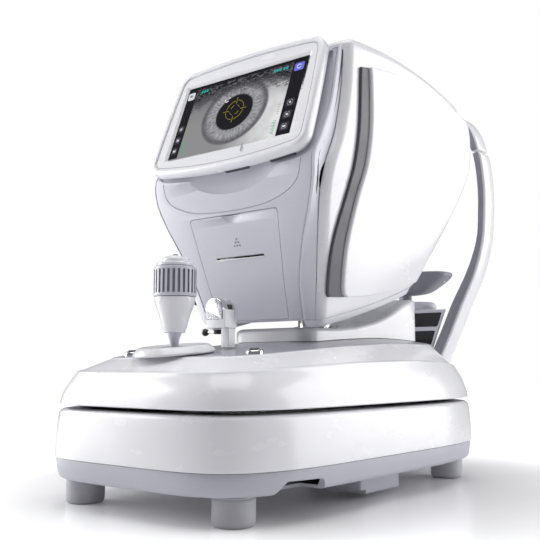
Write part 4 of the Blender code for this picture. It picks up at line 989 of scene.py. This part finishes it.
def head_front():
    low, high = SEAM[0][0], SEAM[-1][0]
    levels = levels_between(low, high, 40)

    def frame_shape(z):
        return seam_half(z), seam_y(z) + 0.0002, casing_half_width(casing_front(z),
                                                                   z) - 0.0086, casing_front(z) - 0.0003

    def opening_shape(z):
        return seam_half(z) - 0.002, seam_y(z) - 0.03, seam_half(z) - 0.002, casing_front(z) + 0.02

    def cover_shape(z):
        return seam_half(z) - 0.0026, seam_y(z), seam_half(z) - 0.0034, seam_y(z) + 0.007

    frame_piece = front_solid("front_frame", levels, frame_shape, "ring", body="head",
                              node="head_front_frame", slot="grey")
    opening = front_solid("opening", levels_between(0.15, high - 0.003, 40), opening_shape, None)
    carve(frame_piece, opening, display_cutter())
    cover_levels = levels_between(low + 0.0006, high - 0.0036, 48)
    cover = front_solid("front_cover", cover_levels, cover_shape, "cover", body="head",
                        node="head_front_cover", slot="grey")
    doorway = prism("doorway", door_outline(0.0006), -0.12, -0.02)
    scoop = ellipsoid("scoop", (0.004, -0.104, 0.318), (0.076, 0.0205, 0.0395))
    carve(cover, doorway, groove_cutter(0.0008, 0.0012), scoop, display_cutter(), sharp=30)

    def door_shape(z):
        return seam_half(z), seam_y(z), seam_half(z), seam_y(z) + 0.0046

    door = front_solid("roll_door", levels_between(DOOR_BOTTOM, DOOR_TOP + 0.002, 30), door_shape, "cover",
                       body="printer_door", node="printer_door", slot="grey")
    carve(door, prism("door_cutter", door_outline(0.0), -0.12, -0.02), operation="INTERSECT")
    slot = box("slot", (-0.031, -0.1, 0.2294), (0.031, -0.05, 0.2314), None, 0.0004)
    notch = ellipsoid("notch", (0.0, seam_y(DOOR_TOP) - 0.0082, DOOR_TOP + 0.0015), (0.02, 0.0115, 0.027))
    carve(door, slot, notch, sharp=30)
    y = seam_y(0.2304)
    # Black gloss box behind the paper slot: painted shade inside the slot.
    box("slot_painted_shade", (-0.033, y + 0.0022, 0.228), (0.033, y + 0.0042, 0.2328), "piano", 0.0004,
        body="printer_door")
    # White strip, lighter than the door's grey, along the slot's lower edge: painted highlight on the lip.
    box("slot_lip_painted_highlight", (-0.0315, y - 0.0004, 0.2283), (0.0315, y + 0.0012, 0.2293), "white", 0.0003,
        body="printer_door")
    for row in range(3):
        for k in range(row + 1):
            z = 0.2478 - 0.0032 * row
            x = (k - row / 2) * 0.0034
            dot = [(0, -0.0006), (0.0007, -0.0006), (0.0008, -0.0002), (0.0008, 0.0008), (0, 0.0008)]
            turned(f"door_dot_{row + 1}_{k + 1}", dot, (x, seam_y(z), z), "lining", 16, "Y",
                   body="printer_door")


def shadow_liners():
    """Dark liners behind the head's front seams, so that each gap reads as a shadow."""
    levels = levels_between(SEAM[0][0] + 0.002, SEAM[-1][0] - 0.004, 30)

    def shape(z):
        return seam_half(z) - 0.0006, seam_y(z) + 0.0062, seam_half(z) - 0.0006, seam_y(z) + 0.0085

    def hole(z):
        return seam_half(z) - 0.008, seam_y(z) - 0.02, seam_half(z) - 0.008, seam_y(z) + 0.04

    def gasket_outer(z):
        return seam_half(z) - 0.00205, seam_y(z) + 0.0007, seam_half(z) - 0.00205, seam_y(z) + 0.006, 0.0002

    def gasket_inner(z):
        return seam_half(z) - 0.00255, seam_y(z) - 0.02, seam_half(z) - 0.00255, seam_y(z) + 0.04

    gasket = front_solid("front_seam_gasket", levels, gasket_outer, "groove", body="head")
    carve(gasket, front_solid("gasket_hole", levels_between(0.15, 0.42, 60), gasket_inner, None),
          display_cutter())
    liner = front_solid("front_seam_liner", levels, shape, "groove", body="head")
    carve(liner, front_solid("liner_hole", levels_between(0.15, 0.42, 30), hole, None), display_cutter())


# ---- side panels ----
def side_slab(name, rows, side, near, far, material, edge=0.0016, **about):
    """A slab that follows the casing's side, with a rolled rim. Each row is a list of (y, z) points."""
    bm = bmesh.new()
    skins = []
    for proud in (near, far):
        grid = []
        for r, row in enumerate(rows):
            line = []
            for c, (y, z) in enumerate(row):
                rim = min(r, len(rows) - 1 - r, c, len(row) - 1 - c)
                drop = (edge, edge * 0.35, edge * 0.06)[rim] if rim < 3 and proud == far else 0.0
                line.append(bm.verts.new((side * (casing_half_width(y, z) + proud - drop), y, z)))
            grid.append(line)
        skins.append(grid)
    height, width = len(rows), len(rows[0])
    for grid in skins:
        for r in range(height - 1):
            for c in range(width - 1):
                bm.faces.new((grid[r][c], grid[r][c + 1], grid[r + 1][c + 1], grid[r + 1][c]))
    rim = [(0, c) for c in range(width)] + [(r, width - 1) for r in range(1, height)]
    rim += [(height - 1, c) for c in range(width - 2, -1, -1)] + [(r, 0) for r in range(height - 2, 0, -1)]
    for (r, c), (s, d) in zip(rim, rim[1:] + rim[:1]):
        bm.faces.new((skins[0][r][c], skins[0][s][d], skins[1][s][d], skins[1][r][c]))
    return finish(name, bm, material, **about)


def rim_steps(count, size, length):
    """Places from 0 to 1 that crowd near both ends, for a rolled rim."""
    near = [0.0, 0.25 * size / length, 0.6 * size / length, size / length]
    middle = [near[-1] + (1 - 2 * near[-1]) * k / count for k in range(1, count)]
    return near + middle + [1 - v for v in reversed(near)]


def panel_rows():
    dense = denser([row + (front,) for row, front in zip(PANEL, STRIP_FRONT)], 6)
    heights = rim_steps(36, 0.0024, 0.24)
    last = len(dense) - 1
    out = []
    for t in heights:
        at = t * last
        i = min(int(at), last - 1)
        out.append(tuple(a + (b - a) * (at - i) for a, b in zip(dense[i], dense[i + 1])))
    return out


def side_panels():
    rows = panel_rows()
    columns = rim_steps(28, 0.0024, 0.18)
    panel, strip = [], []
    for low_z, front, high_z, rear, arch, strip_front in rows:
        panel.append([
            (front + (rear - front) * t, low_z + (high_z - low_z) * t + arch * 4 * t * (1 - t))
                      for t in columns
        ])
        back = front - 0.0005
        slant = 0.003 * (1 if low_z > 0.3 else 0.6)
        strip.append([(strip_front + (back - strip_front) * t, low_z - slant * (1 - t))
                      for t in rim_steps(6, 0.002, 0.02)])
    for side, sign in (("left", -1), ("right", 1)):
        side_slab(f"panel_{side}", panel, sign, 0.0006, 0.006, "white", 0.0016, body="head",
                  node=f"side_panel_{side}", slot="white")
        side_slab(f"strip_{side}", strip, sign, 0.0004, 0.003, "strip", 0.001, body="head",
                  node=f"accent_strip_{side}", slot="mid_grey")


# ---- measuring window and hidden parts ----
def nose():
    profile = [(0.023, 0.15), (0.0302, 0.15), (0.0302, 0.212), (0.0298, 0.215), (0.0288, 0.2172),
               (0.0272, 0.2184), (0.0254, 0.2184), (0.024, 0.2172), (0.0234, 0.215), (0.023, 0.211)]
    turned("nose_barrel", profile, (0, 0, NOSE_HEIGHT), "lining", 96, "Y", body="head",
           node="measuring_nose", slot="mid_grey")
    glass = [(0, 0.2056), (0.0226, 0.2056), (0.0226, 0.2074), (0.019, 0.2082), (0.011, 0.209), (0, 0.2093)]
    turned("nose_window", glass, (0, 0, NOSE_HEIGHT), "piano", 80, "Y", body="head",
           node="measuring_window", slot="black_gloss")
    trim = [(0.0303, 0.212), (0.0322, 0.212), (0.0326, 0.214), (0.0318, 0.2156), (0.0303, 0.2158)]
    turned("nose_trim", trim, (0, 0, NOSE_HEIGHT), "white_satin", 96, "Y", body="head")
    for k in range(6):
        angle = 2 * math.pi * (k + 0.5) / 6
        lamp = [(0, 0.217), (0.001, 0.217), (0.001, 0.2188), (0.0006, 0.2192), (0, 0.2192)]
        turned(f"nose_lamp_{k + 1}", lamp,
               (0.0264 * math.cos(angle), 0, NOSE_HEIGHT + 0.0264 * math.sin(angle)), "piano", 20, "Y",
               body="head")


def dress_hidden_nodes():
    """Materials for the CAD nodes that keep their own shape."""
    kept = {
        "base_deck_plate": "dark", "power_supply": "steel", "x_rail_frame": "steel", "cross_slide": "steel",
        "stage_chassis": "steel", "lift_guide": "steel", "lift_column": "chrome", "joystick_yoke": "steel",
        "optical_bench": "steel", "objective_tube": "dark", "camera_module": "dark", "main_board": "board",
        "printer_cradle": "dark", "paper_roll": "paper",
    }
    for name, material in kept.items():
        node = NODES[name]
        node.data.materials.clear()
        node.data.materials.append(MATERIALS[material])


# ---- display ----
def screen_point(across, up, depth):
    c, s = math.cos(SCREEN_LEAN), math.sin(SCREEN_LEAN)
    return SCREEN_CENTRE + Vector((across, up * s + depth * c, up * c - depth * s))


def display_outline(inset, steps=12):
    w, h, r = DISPLAY_HALF_WIDTH - inset, DISPLAY_HALF_HEIGHT - inset, DISPLAY_CORNER - min(inset, 0.008)
    right = [(w * t, -h) for t in (0.04, 0.14, 0.28, 0.42, 0.56, 0.7, 0.8)]
    turn = [math.pi / 2 * k / steps for k in range(steps + 1)]
    right += [(w - r + r * math.sin(a), -h + r - r * math.cos(a)) for a in turn]
    right += [(w, h * t) for t in (-0.5, -0.25, 0.0, 0.25, 0.5)]
    right += [(w - r + r * math.cos(a), h - r + r * math.sin(a)) for a in turn]
    right += [(w * t, h) for t in (0.8, 0.7, 0.56, 0.42, 0.28, 0.14, 0.04)]
    shaped = []
    for x, y in right:
        bow = 1 - (x / w) ** 2
        rise = y / h * (0.0048 + 0.0052 * bow if y > 0 else 0.008 * bow)
        shaped.append((x * (1 - 0.032 * y / h) + 0.0015 * (1 - (y / h) ** 2), y + rise))
    return shaped


def display_ring(inset, depth):
    right = [screen_point(x, y, depth) for x, y in display_outline(inset)]
    return right + [Vector((-p.x, p.y, p.z)) for p in reversed(right)]


def flat_ring(half_width, half_height, radius, depth, steps=6):
    points = []
    for cx, cy, start in ((1, -1, -90), (1, 1, 0)):
        for k in range(steps + 1):
            a = math.radians(start + 90 * k / steps)
            points.append((cx * (half_width - radius) + radius * math.cos(a),
                           cy * (half_height - radius) + radius * math.sin(a)))
    right = [screen_point(x, y, depth) for x, y in points]
    return right + [Vector((-p.x, p.y, p.z)) for p in reversed(right)]


def display():
    rings = [display_ring(0.011, 0.001), display_ring(0.0064, 0.001), display_ring(0.006, 0.0008),
             display_ring(0.0058, 0.0002), display_ring(0.0052, 0.0), display_ring(0.003, 0.0),
             display_ring(0.0018, 0.0003), display_ring(0.0008, 0.0012), display_ring(0.0002, 0.0028),
             display_ring(0.0, 0.0048), display_ring(0.0, 0.0085), display_ring(0.0004, 0.0095),
             display_ring(0.0012, 0.01), display_ring(0.011, 0.01)]
    rings = [flat_ring(SCREEN_HALF_WIDTH + 0.004, SCREEN_HALF_HEIGHT + 0.004, 0.003, 0.001)] + rings
    front = finish("display_front", skin([display_ring(0.0058, 0.001)] + rings[3:-1]), "white", "display",
                   "display_bezel", "white", 30)
    pocket = finish("pocket", skin([
        flat_ring(SCREEN_HALF_WIDTH + 0.0036, SCREEN_HALF_HEIGHT + 0.0036, 0.0016, -0.01),
        flat_ring(SCREEN_HALF_WIDTH + 0.0036, SCREEN_HALF_HEIGHT + 0.0036, 0.0016, 0.0009),
        flat_ring(SCREEN_HALF_WIDTH + 0.0006, SCREEN_HALF_HEIGHT + 0.0006, 0.001, 0.003),
        flat_ring(SCREEN_HALF_WIDTH + 0.0006, SCREEN_HALF_HEIGHT + 0.0006, 0.001, 0.0046),
    ]), None)
    carve(front, pocket, sharp=25)
    face_seam = [display_ring(0.0074, 0.00085), display_ring(0.007, 0.00085), display_ring(0.007, 0.0018),
                 display_ring(0.0074, 0.0018)]
    finish("display_face_seam", skin(face_seam, closed=True), "lining", "display")
    tier = [display_ring(0.0024, 0.0098), display_ring(0.0024, 0.0106), display_ring(0.0018, 0.011),
            display_ring(0.002, 0.0122), display_ring(0.004, 0.0134), display_ring(0.008, 0.0144),
            display_ring(0.015, 0.0149)]
    finish("display_rear", skin(tier), "white_satin", "display", "display_back", "white")
    seam = [display_ring(0.0014, 0.0098), display_ring(0.0014, 0.0108), display_ring(0.004, 0.0108),
            display_ring(0.004, 0.0098)]
    finish("display_side_seam", skin(seam, closed=True), "groove", "display")
    for k, (low, high) in enumerate(((0.001, 0.03), (0.056, 0.084))):
        slot_piece("display_slot_" + str(k + 1), low, high)
    picture()


def slot_piece(name, low, high):
    """A dark slot in the display's lower edge."""
    bm = bmesh.new()
    rows = []
    for depth in (0.0096, 0.0132):
        row = []
        for x in (low, (low + high) / 2, high):
            w, h = DISPLAY_HALF_WIDTH, DISPLAY_HALF_HEIGHT
            edge = -h - 0.008 * (1 - (x / w) ** 2) + 0.001
            row.append((x, edge, depth))
        rows.append(row)
    count = 3
    upper = [[bm.verts.new(screen_point(x, y + 0.003, d)) for x, y, d in row] for row in rows]
    lower = [[bm.verts.new(screen_point(x, y - 0.0006, d)) for x, y, d in row] for row in rows]
    for i in range(count - 1):
        bm.faces.new((upper[0][i], upper[0][i + 1], upper[1][i + 1], upper[1][i]))
        bm.faces.new((lower[0][i], lower[1][i], lower[1][i + 1], lower[0][i + 1]))
        bm.faces.new((upper[0][i], lower[0][i], lower[0][i + 1], upper[0][i + 1]))
        bm.faces.new((upper[1][i], upper[1][i + 1], lower[1][i + 1], lower[1][i]))
    for i in (0, count - 1):
        bm.faces.new((upper[0][i], upper[1][i], lower[1][i], lower[0][i]))
    finish(name, bm, "groove", "display")


def picture():
    """The lit screen: an eye picture with dark columns of generic icons at both sides."""
    w, h = SCREEN_HALF_WIDTH, SCREEN_HALF_HEIGHT
    glass = finish("screen_picture",
                   skin([flat_ring(w, h, 0.0008, 0.0042), flat_ring(w, h, 0.0008, 0.0024)]), "eye",
                   "display", "display_screen", "black_gloss")
    uv = glass.data.uv_layers.new(name="screen")
    c, s = math.cos(SCREEN_LEAN), math.sin(SCREEN_LEAN)
    for loop in glass.data.loops:
        p = glass.data.vertices[loop.vertex_index].co - SHIFT - SCREEN_CENTRE
        uv.data[loop.index].uv = (p.x / PICTURE_WIDTH, (p.y * s + p.z * c) / PICTURE_WIDTH)
    pieces = {}
    mark = []
    for up in (-46.0, -55.4):
        mark.append([screen_point(across / 1000, up / 1000, 0.0) for across in (24.2, 25.0)])
    bm = bmesh.new()
    front = [bm.verts.new(p + Vector((0, -0.0001, 0))) for p in mark[0] + mark[1][::-1]]
    back = [bm.verts.new(p + Vector((0, 0.0004, 0))) for p in mark[0] + mark[1][::-1]]
    close_slab(bm, front, back)
    finish("bezel_mark", bm, "lining", "display")

    def patch(material, points, depth=0.0021):
        bm = pieces.setdefault(material, bmesh.new())
        near = [bm.verts.new(screen_point(x / 1000, y / 1000, depth)) for x, y in points]
        far = [bm.verts.new(screen_point(x / 1000, y / 1000, depth + 0.0002)) for x, y in points]
        close_slab(bm, near, far)

    def tile(material, x, y, width, height, radius=0.0, depth=0.0021):
        outline = [(x - width / 2, y - height / 2), (x + width / 2, y - height / 2),
                   (x + width / 2, y + height / 2), (x - width / 2, y + height / 2)]
        patch(material, rounded(outline, radius, 4) if radius else outline, depth)

    def arc(material, x, y, radius, start, end, width=0.5, depth=0.0021):
        turns = [math.radians(start + (end - start) * k / 12) for k in range(13)]
        outer = [(x + (radius + width / 2) * math.cos(a), y + (radius + width / 2) * math.sin(a))
                 for a in turns]
        inner = [(x + (radius - width / 2) * math.cos(a), y + (radius - width / 2) * math.sin(a))
                 for a in turns]
        patch(material, outer + inner[::-1], depth)

    tile("lit_black", -73.2, 0, 12.4, 90.4)
    tile("lit_black", 71.0, 0, 16.8, 90.4)
    tile("lit_black", 0, 43.4, 150, 3.6)
    near = 0.0018
    tile("lit_white", -73.2, 34, 9.5, 9.5, 2.4, near)
    tile("lit_grey", -73.2, 34.2, 4.2, 2.6, 0.6, near - 0.0003)
    tile("lit_blue", 70.8, 34, 11.5, 9.5, 2.4, near)
    arc("lit_white", 70.8, 34, 2.4, 20, 340, 0.7, near - 0.0003)
    for x, width in ((-73.2, 8.5), (71.0, 11.5)):
        for k, y in enumerate((-8.5, -22.5, -36.0)):
            tile("lit_dim", x, y, width * 0.92, 9.2, 1.8, near)
            for low, high in ((10, 80), (100, 170), (190, 260), (280, 350)):
                arc("lit_grey", x, y, width * 0.27, low, high, 0.9, near - 0.0003)
            tile("lit_white", x, y, 2.0 + 0.8 * k, 2.0, 0.5, near - 0.0003)
    for start in (20, 110, 200, 290):
        arc("lit_yellow", -1.5, 0, 11.5, start - 12, start + 60, 0.4, near)
        arc("lit_yellow", -1.5, 0, 6.0, start, start + 50, 0.35, near)
        a = math.radians(start - 20)
        dx, dy = math.cos(a), math.sin(a)
        for r in (9.5, 13.5):
            x, y = -1.5 + r * dx, r * dy
            patch("lit_yellow", [(x - 1.8 * dx - 0.25 * dy, y - 1.8 * dy + 0.25 * dx),
                                 (x + 1.8 * dx - 0.25 * dy, y + 1.8 * dy + 0.25 * dx),
                                 (x + 1.8 * dx + 0.25 * dy, y + 1.8 * dy - 0.25 * dx),
                                 (x - 1.8 * dx + 0.25 * dy, y - 1.8 * dy - 0.25 * dx)], near)
    arc("lit_white", -16.5, 15.5, 2.4, 150, 330, 1.3, near)
    tile("lit_white", -13.4, 17.6, 2.2, 1.4, 0.5, near)
    for k in range(9):
        long = 4.5 if k % 2 else 2.6
        tile("lit_green", -63.5 + long / 2, -41.5 + 2.3 * k * 0.8, long, 0.6, 0.0, near)
        tile("lit_green", 59.0 - long / 2, -41.5 + 2.3 * k * 0.8, long, 0.6, 0.0, near)
    for k in range(5):
        tile("lit_yellow", -62.0, -18.5 + 2.6 * k, 1.8, 0.6, 0.0, near)
        tile("lit_yellow", 58.0, -18.5 + 2.6 * k, 1.8, 0.6, 0.0, near)
    for x in (-58, -54.5, -51, 40, 43.5, 47, 52, 55.5):
        tile("lit_cyan", x, 36.5, 2.4, 3.2, 0.6, near)
    for material, bm in pieces.items():
        finish("screen_" + material[4:], bm, material, "display")


# ---- face support ----
def inward(points, thickness):
    moved = []
    for i, (x, z) in enumerate(points):
        before, after = points[max(i - 1, 0)], points[min(i + 1, len(points) - 1)]
        run = Vector((after[0] - before[0], after[1] - before[1])).normalized()
        moved.append((x - run.y * thickness(i), z + run.x * thickness(i)))
    return moved


def frame_thickness(i):
    return straight(((0, 0.015), (3, 0.014), (5, 0.0095), (9, 0.01), (12, 0.018), (15, 0.034)), i)


def strip_solid(name, outer, inner, near, far, material, edge, **about):
    bm = bmesh.new()
    rows = [[bm.verts.new((x, y, z)) for x, z in outer + inner[::-1]] for y in (near, far)]
    close_ribbon(bm, rows)
    obj = finish(name, bm, material, **about)
    soften(obj, edge, 4, 50)
    settle(obj)
    shade(obj.data, 40)
    return obj


def frame_curve():
    """The frame's outer edge and its thickness, both on smooth curves, with the seam's place."""
    rows = [(x, z, frame_thickness(i)) for i, (x, z) in enumerate(FRAME)]
    dense = denser(rows, 5)
    return dense, 9 * 5


def edges(rows, trim):
    points = [(x, z) for x, z, _ in rows]
    return inward(points, lambda i: trim), inward(points, lambda i: rows[i][2] - trim)


def face_frame():
    rows, seam = frame_curve()
    post = rows[:seam]
    bar = rows[seam:] + [(-x, z, t) for x, z, t in reversed(rows[seam:-1])]
    middle = FRAME_FRONT + LINING_DEPTH + 0.0004
    for side, sign in (("left", -1), ("right", 1)):
        outer, inner = edges(post, 0.0)
        outer, inner = ([(sign * x, z) for x, z in line] for line in (outer, inner))
        strip_solid(f"support_post_{side}", outer, inner, middle, FRAME_REAR, "white", 0.0026, body="base",
                    node=f"face_post_{side}", slot="white")
        outer, inner = edges(post[5:], 0.0014)
        outer, inner = ([(sign * x, z) for x, z in line] for line in (outer, inner))
        strip_solid(f"support_lining_{side}", outer, inner, FRAME_FRONT, middle - 0.0003, "lining", 0.001,
                    body="base", node=f"post_lining_{side}", slot="mid_grey")
    outer, inner = edges(bar, 0.0)
    strip_solid("support_bar", outer, inner, middle, FRAME_REAR, "white", 0.0026, body="base",
                node="forehead_bar", slot="white")
    outer, inner = edges(bar, 0.0014)
    strip_solid("support_bar_lining", outer, inner, FRAME_FRONT, middle - 0.0003, "lining", 0.001,
                body="base", node="forehead_lining", slot="mid_grey")


def forehead_pad():
    low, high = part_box("forehead_pad")
    low, high = low - SHIFT, high - SHIFT
    mid_x, mid_z = (low.x + high.x) / 2, (low.z + high.z) / 2
    half_x, half_z, depth = (high.x - low.x) / 2, (high.z - low.z) / 2, high.y - low.y
    bm = bmesh.new()
    rows = []
    for k in range(9):
        t = k / 8
        swell = math.sin(math.pi * min(1.0, 0.06 + t)) ** 0.25 if t < 1 else 0.0
        shrink = 0.0012 + 0.006 * max(0.0, t - 0.45) ** 1.6 * 2.2
        y = low.y + depth * (t if t < 1 else 1.0)
        row = []
        for i in range(56):
            angle = 2 * math.pi * i / 56
            c, s = math.cos(angle), math.sin(angle)
            x = (half_x - shrink) * math.copysign(abs(c) ** 0.55, c)
            z = (half_z - shrink) * math.copysign(abs(s) ** 0.7, s)
            hollow = -0.0016 * math.exp(-(x / 0.03) ** 2) * max(0.0, t - 0.5) * 2
            row.append(bm.verts.new((mid_x + x, y + hollow,
                                     mid_z + z + 0.0008 * swell * math.cos(angle * 2))))
        rows.append(row)
    for a, b in zip(rows, rows[1:]):
        for i in range(56):
            j = (i + 1) % 56
            bm.faces.new((a[i], a[j], b[j], b[i]))
    for row in (rows[0], rows[-1]):
        bm.faces.new(row)
    pad = finish("forehead_cushion", bm, "pad", "base", "forehead_pad", "pad", 50)
    soften(pad, 0.0012, 3, 30)
    settle(pad)
    pad.data.shade_smooth()


def pedestal():
    rows, _ = frame_curve()
    _, inner = edges(rows, 0.0)
    slope = [(x - 0.0005, z) for x, z in inner if 0.1035 < z < 0.1925]
    right = [(0.064, 0.028), (0.064, 0.099), (0.03, 0.099)] + slope + [(0.069, PEDESTAL_TOP)]
    middle = FRAME_FRONT + LINING_DEPTH + 0.0012
    body = prism("pedestal_moulding", mirrored(right), middle, FRAME_REAR, "white_satin", 0.0012,
                 body="base", node="support_pedestal", slot="light_grey")
    foot = box("pedestal_foot", (-0.06, HALF_DEPTH + 0.0006, 0.0285), (0.06, 0.262, 0.085), None, 0.0015)
    carve(body, foot, operation="UNION")
    carve(body, turned("bore", [(0, 0.112), (0.0085, 0.112), (0.0085, 0.21), (0, 0.21)], (0, CHIN_Y, 0),
                       None, 48))
    near, far = FRAME_FRONT - 0.0002, FRAME_FRONT + 0.0022
    outline = mirrored([(0.0458, 0.143), (0.0476, 0.148), (0.0562, 0.17), (0.0655, 0.193)])
    cover = prism("pedestal_face", outline, near, far, "cover", 0.0005, body="base", node="pedestal_cover",
                  slot="light_grey")
    upper = rounded(mirrored([(0.0545, 0.1722), (0.0612, 0.1896)]), 0.0022)
    lower = rounded(mirrored([(0.0448, 0.1478), (0.0515, 0.1672)]), 0.0022)
    carve(cover, prism("upper", upper, near - 0.01, far + 0.01),
          prism("lower", lower, near - 0.01, far + 0.01))
    window = mirrored([(0.0458, 0.1442), (0.0635, 0.1923)])
    prism("pedestal_dark_window", window, far + 0.0003, far + 0.0015, "piano", 0.0002, body="base",
          node="pedestal_window", slot="black_gloss")


def chin_rest():
    collar = above(PEDESTAL_TOP,
                   [(0.0086, 0.0004), (0.04, 0.0004), (0.0416, 0.0014), (0.0421, 0.003), (0.0414, 0.0058),
                    (0.0398, 0.0082), (0.0372, 0.0096), (0.034, 0.01), (0.013, 0.01), (0.0118, 0.0092),
                    (0.0086, 0.009)])
    piece = turned("chin_collar", collar, (0, CHIN_Y, 0), "cover", 96, body="base",
                   node="chin_column_collar", slot="light_grey")
    centre = CHIN_Y + SHIFT.y
    for vert in piece.data.vertices:
        reach = math.hypot(vert.co.x, vert.co.y - centre)
        blend = min(1.0, max(0.0, (reach - 0.013) / 0.012))
        vert.co.y = centre + (vert.co.y - centre) * (1 - 0.38 * blend)
    profile = [
        (0.0085, CHIN_Y - 0.0085, CHIN_Y + 0.0085, 0.2146), (0.02, CHIN_Y - 0.009, 0.273, 0.215),
        (0.033, CHIN_Y - 0.014, 0.284, 0.2185), (0.048, 0.24, 0.294, 0.229),
               (0.056, 0.2387, 0.2985, 0.2362),
        (0.0575, 0.2382, 0.3, 0.2402), (0.0572, 0.2384, 0.2997, 0.2414), (0.056, 0.2394, 0.2986, 0.2424),
        (0.054, 0.2412, 0.2968, 0.2424), (0.0518, 0.2432, 0.2948, 0.2408), (0.044, 0.248, 0.29, 0.2352),
        (0.035, 0.252, 0.286, 0.2332), (0.02, 0.257, 0.279, 0.2324),
    ]
    rings = [oval(w, front, rear, z, 2.6, 72) for w, front, rear, z in denser(profile, 3)]
    cup = finish("chin_cup", skin(rings), "chin", "chin_rest", "chin_rest", "mid_grey", 45)
    column = turned("column", [(0, 0.115), (0.0076, 0.115), (0.008, 0.1154), (0.008, 0.22), (0, 0.22)],
                    (0, CHIN_Y, 0), None, 48)
    carve(cup, column, operation="UNION", sharp=45)
    for side, sign in (("left", -1), ("right", 1)):
        pin = [(0, 0.23), (0.0022, 0.23), (0.0022, 0.2426), (0.0016, 0.2434), (0, 0.2436)]
        turned(f"paper_pin_{side}", pin, (sign * 0.0485, 0.269, 0), "steel", 24, body="chin_rest")


# ---- floor, light, camera ----
WORLD_FILL = 0.2  # the sky's light; the camera itself sees plain white
FLOOR_FADE = (0.15, 0.62)  # reach from the middle over which the floor fades to white
# name, azimuth from the operator's side towards +X, height, distance, size, power
LIGHTS = (
    ("left_softbox", -62.0, 0.5, 1.4, (1.1, 1.2), 20),
    ("right_softbox", 134.0, 0.5, 1.4, (1.1, 1.2), 14),
    ("top_softbox", 38.0, 1.9, 0.25, (1.6, 1.6), 24),
)
LIGHTS_AIM = Vector((0, 0, 0.18))
CAMERA_PLACE, CAMERA_TURN, CAMERA_LENS = Vector((0.51902, -0.67117, 0.12332)), (96.786, 0, 38.721), 53.98


def studio():
    bm = bmesh.new()
    bmesh.ops.create_grid(bm, x_segments=1, y_segments=1, size=6.0)
    bmesh.ops.translate(bm, vec=(0, 0, -0.0002), verts=bm.verts)
    mesh = bpy.data.meshes.new("studio_floor")
    bm.to_mesh(mesh)
    bm.free()
    floor = bpy.data.objects.new("studio_floor", mesh)
    bpy.context.scene.collection.objects.link(floor)
    t = Tree("pale_floor")
    haze = t.noise(3, 2)
    t.set("Base Color", t.mix(haze, (0.9, 0.9, 0.92), (0.93, 0.93, 0.94)))
    t.rough(haze, 0.04, 0.2)
    place = t.add("ShaderNodeTexCoord", 3)
    reach = t.add("ShaderNodeVectorMath", 1, {0: place}, operation="LENGTH")
    path = t.add("ShaderNodeLightPath", 0)
    t.set("Emission Color", (1, 1, 1, 1))
    t.set("Emission Strength", t.math("MULTIPLY", path, t.step(reach, *FLOOR_FADE)))
    mesh.materials.append(t.material)
    world = bpy.data.worlds.new("studio")
    bpy.context.scene.world = world
    world.use_nodes = True
    nodes, links = world.node_tree.nodes, world.node_tree.links
    background = nodes["Background"]
    background.inputs["Strength"].default_value = 1.0
    path = nodes.new("ShaderNodeLightPath")
    blend = nodes.new("ShaderNodeMix")
    blend.data_type = "RGBA"
    blend.inputs[6].default_value = (WORLD_FILL, WORLD_FILL, WORLD_FILL * 1.05, 1)
    blend.inputs[7].default_value = (1.0, 1.0, 1.0, 1)
    links.new(path.outputs["Is Camera Ray"], blend.inputs[0])
    links.new(blend.outputs[2], background.inputs["Color"])
    for name, azimuth, height, distance, size, power in LIGHTS:
        lamp = bpy.data.lights.new(name, "AREA")
        lamp.shape = "RECTANGLE"
        lamp.size, lamp.size_y = size
        lamp.energy = power
        obj = bpy.data.objects.new(name, lamp)
        bpy.context.scene.collection.objects.link(obj)
        a = math.radians(azimuth)
        obj.location = Vector((distance * math.sin(a), -distance * math.cos(a), height))
        aim = LIGHTS_AIM - obj.location
        obj.rotation_euler = aim.to_track_quat("-Z", "Y").to_euler()


def camera():
    data = bpy.data.cameras.new("camera")
    data.lens = CAMERA_LENS
    data.sensor_width = 36
    data.clip_start = 0.01
    eye = bpy.data.objects.new("camera", data)
    bpy.context.scene.collection.objects.link(eye)
    eye.location = CAMERA_PLACE + SHIFT
    eye.rotation_euler = [math.radians(angle) for angle in CAMERA_TURN]
    bpy.context.scene.camera = eye


# ---- build ----
camera()
tray()
lower_shell()
feet()
sockets()
skirt()
deck_plate()
deck_buttons()
turret()
boot()
clamp()
joystick()
casing()
head_front()
shadow_liners()
side_panels()
nose()
display()
face_frame()
forehead_pad()
pedestal()
chin_rest()
dress_hidden_nodes()
studio()
bpy.context.scene.view_settings.view_transform = "Standard"
bpy.context.view_layer.update()
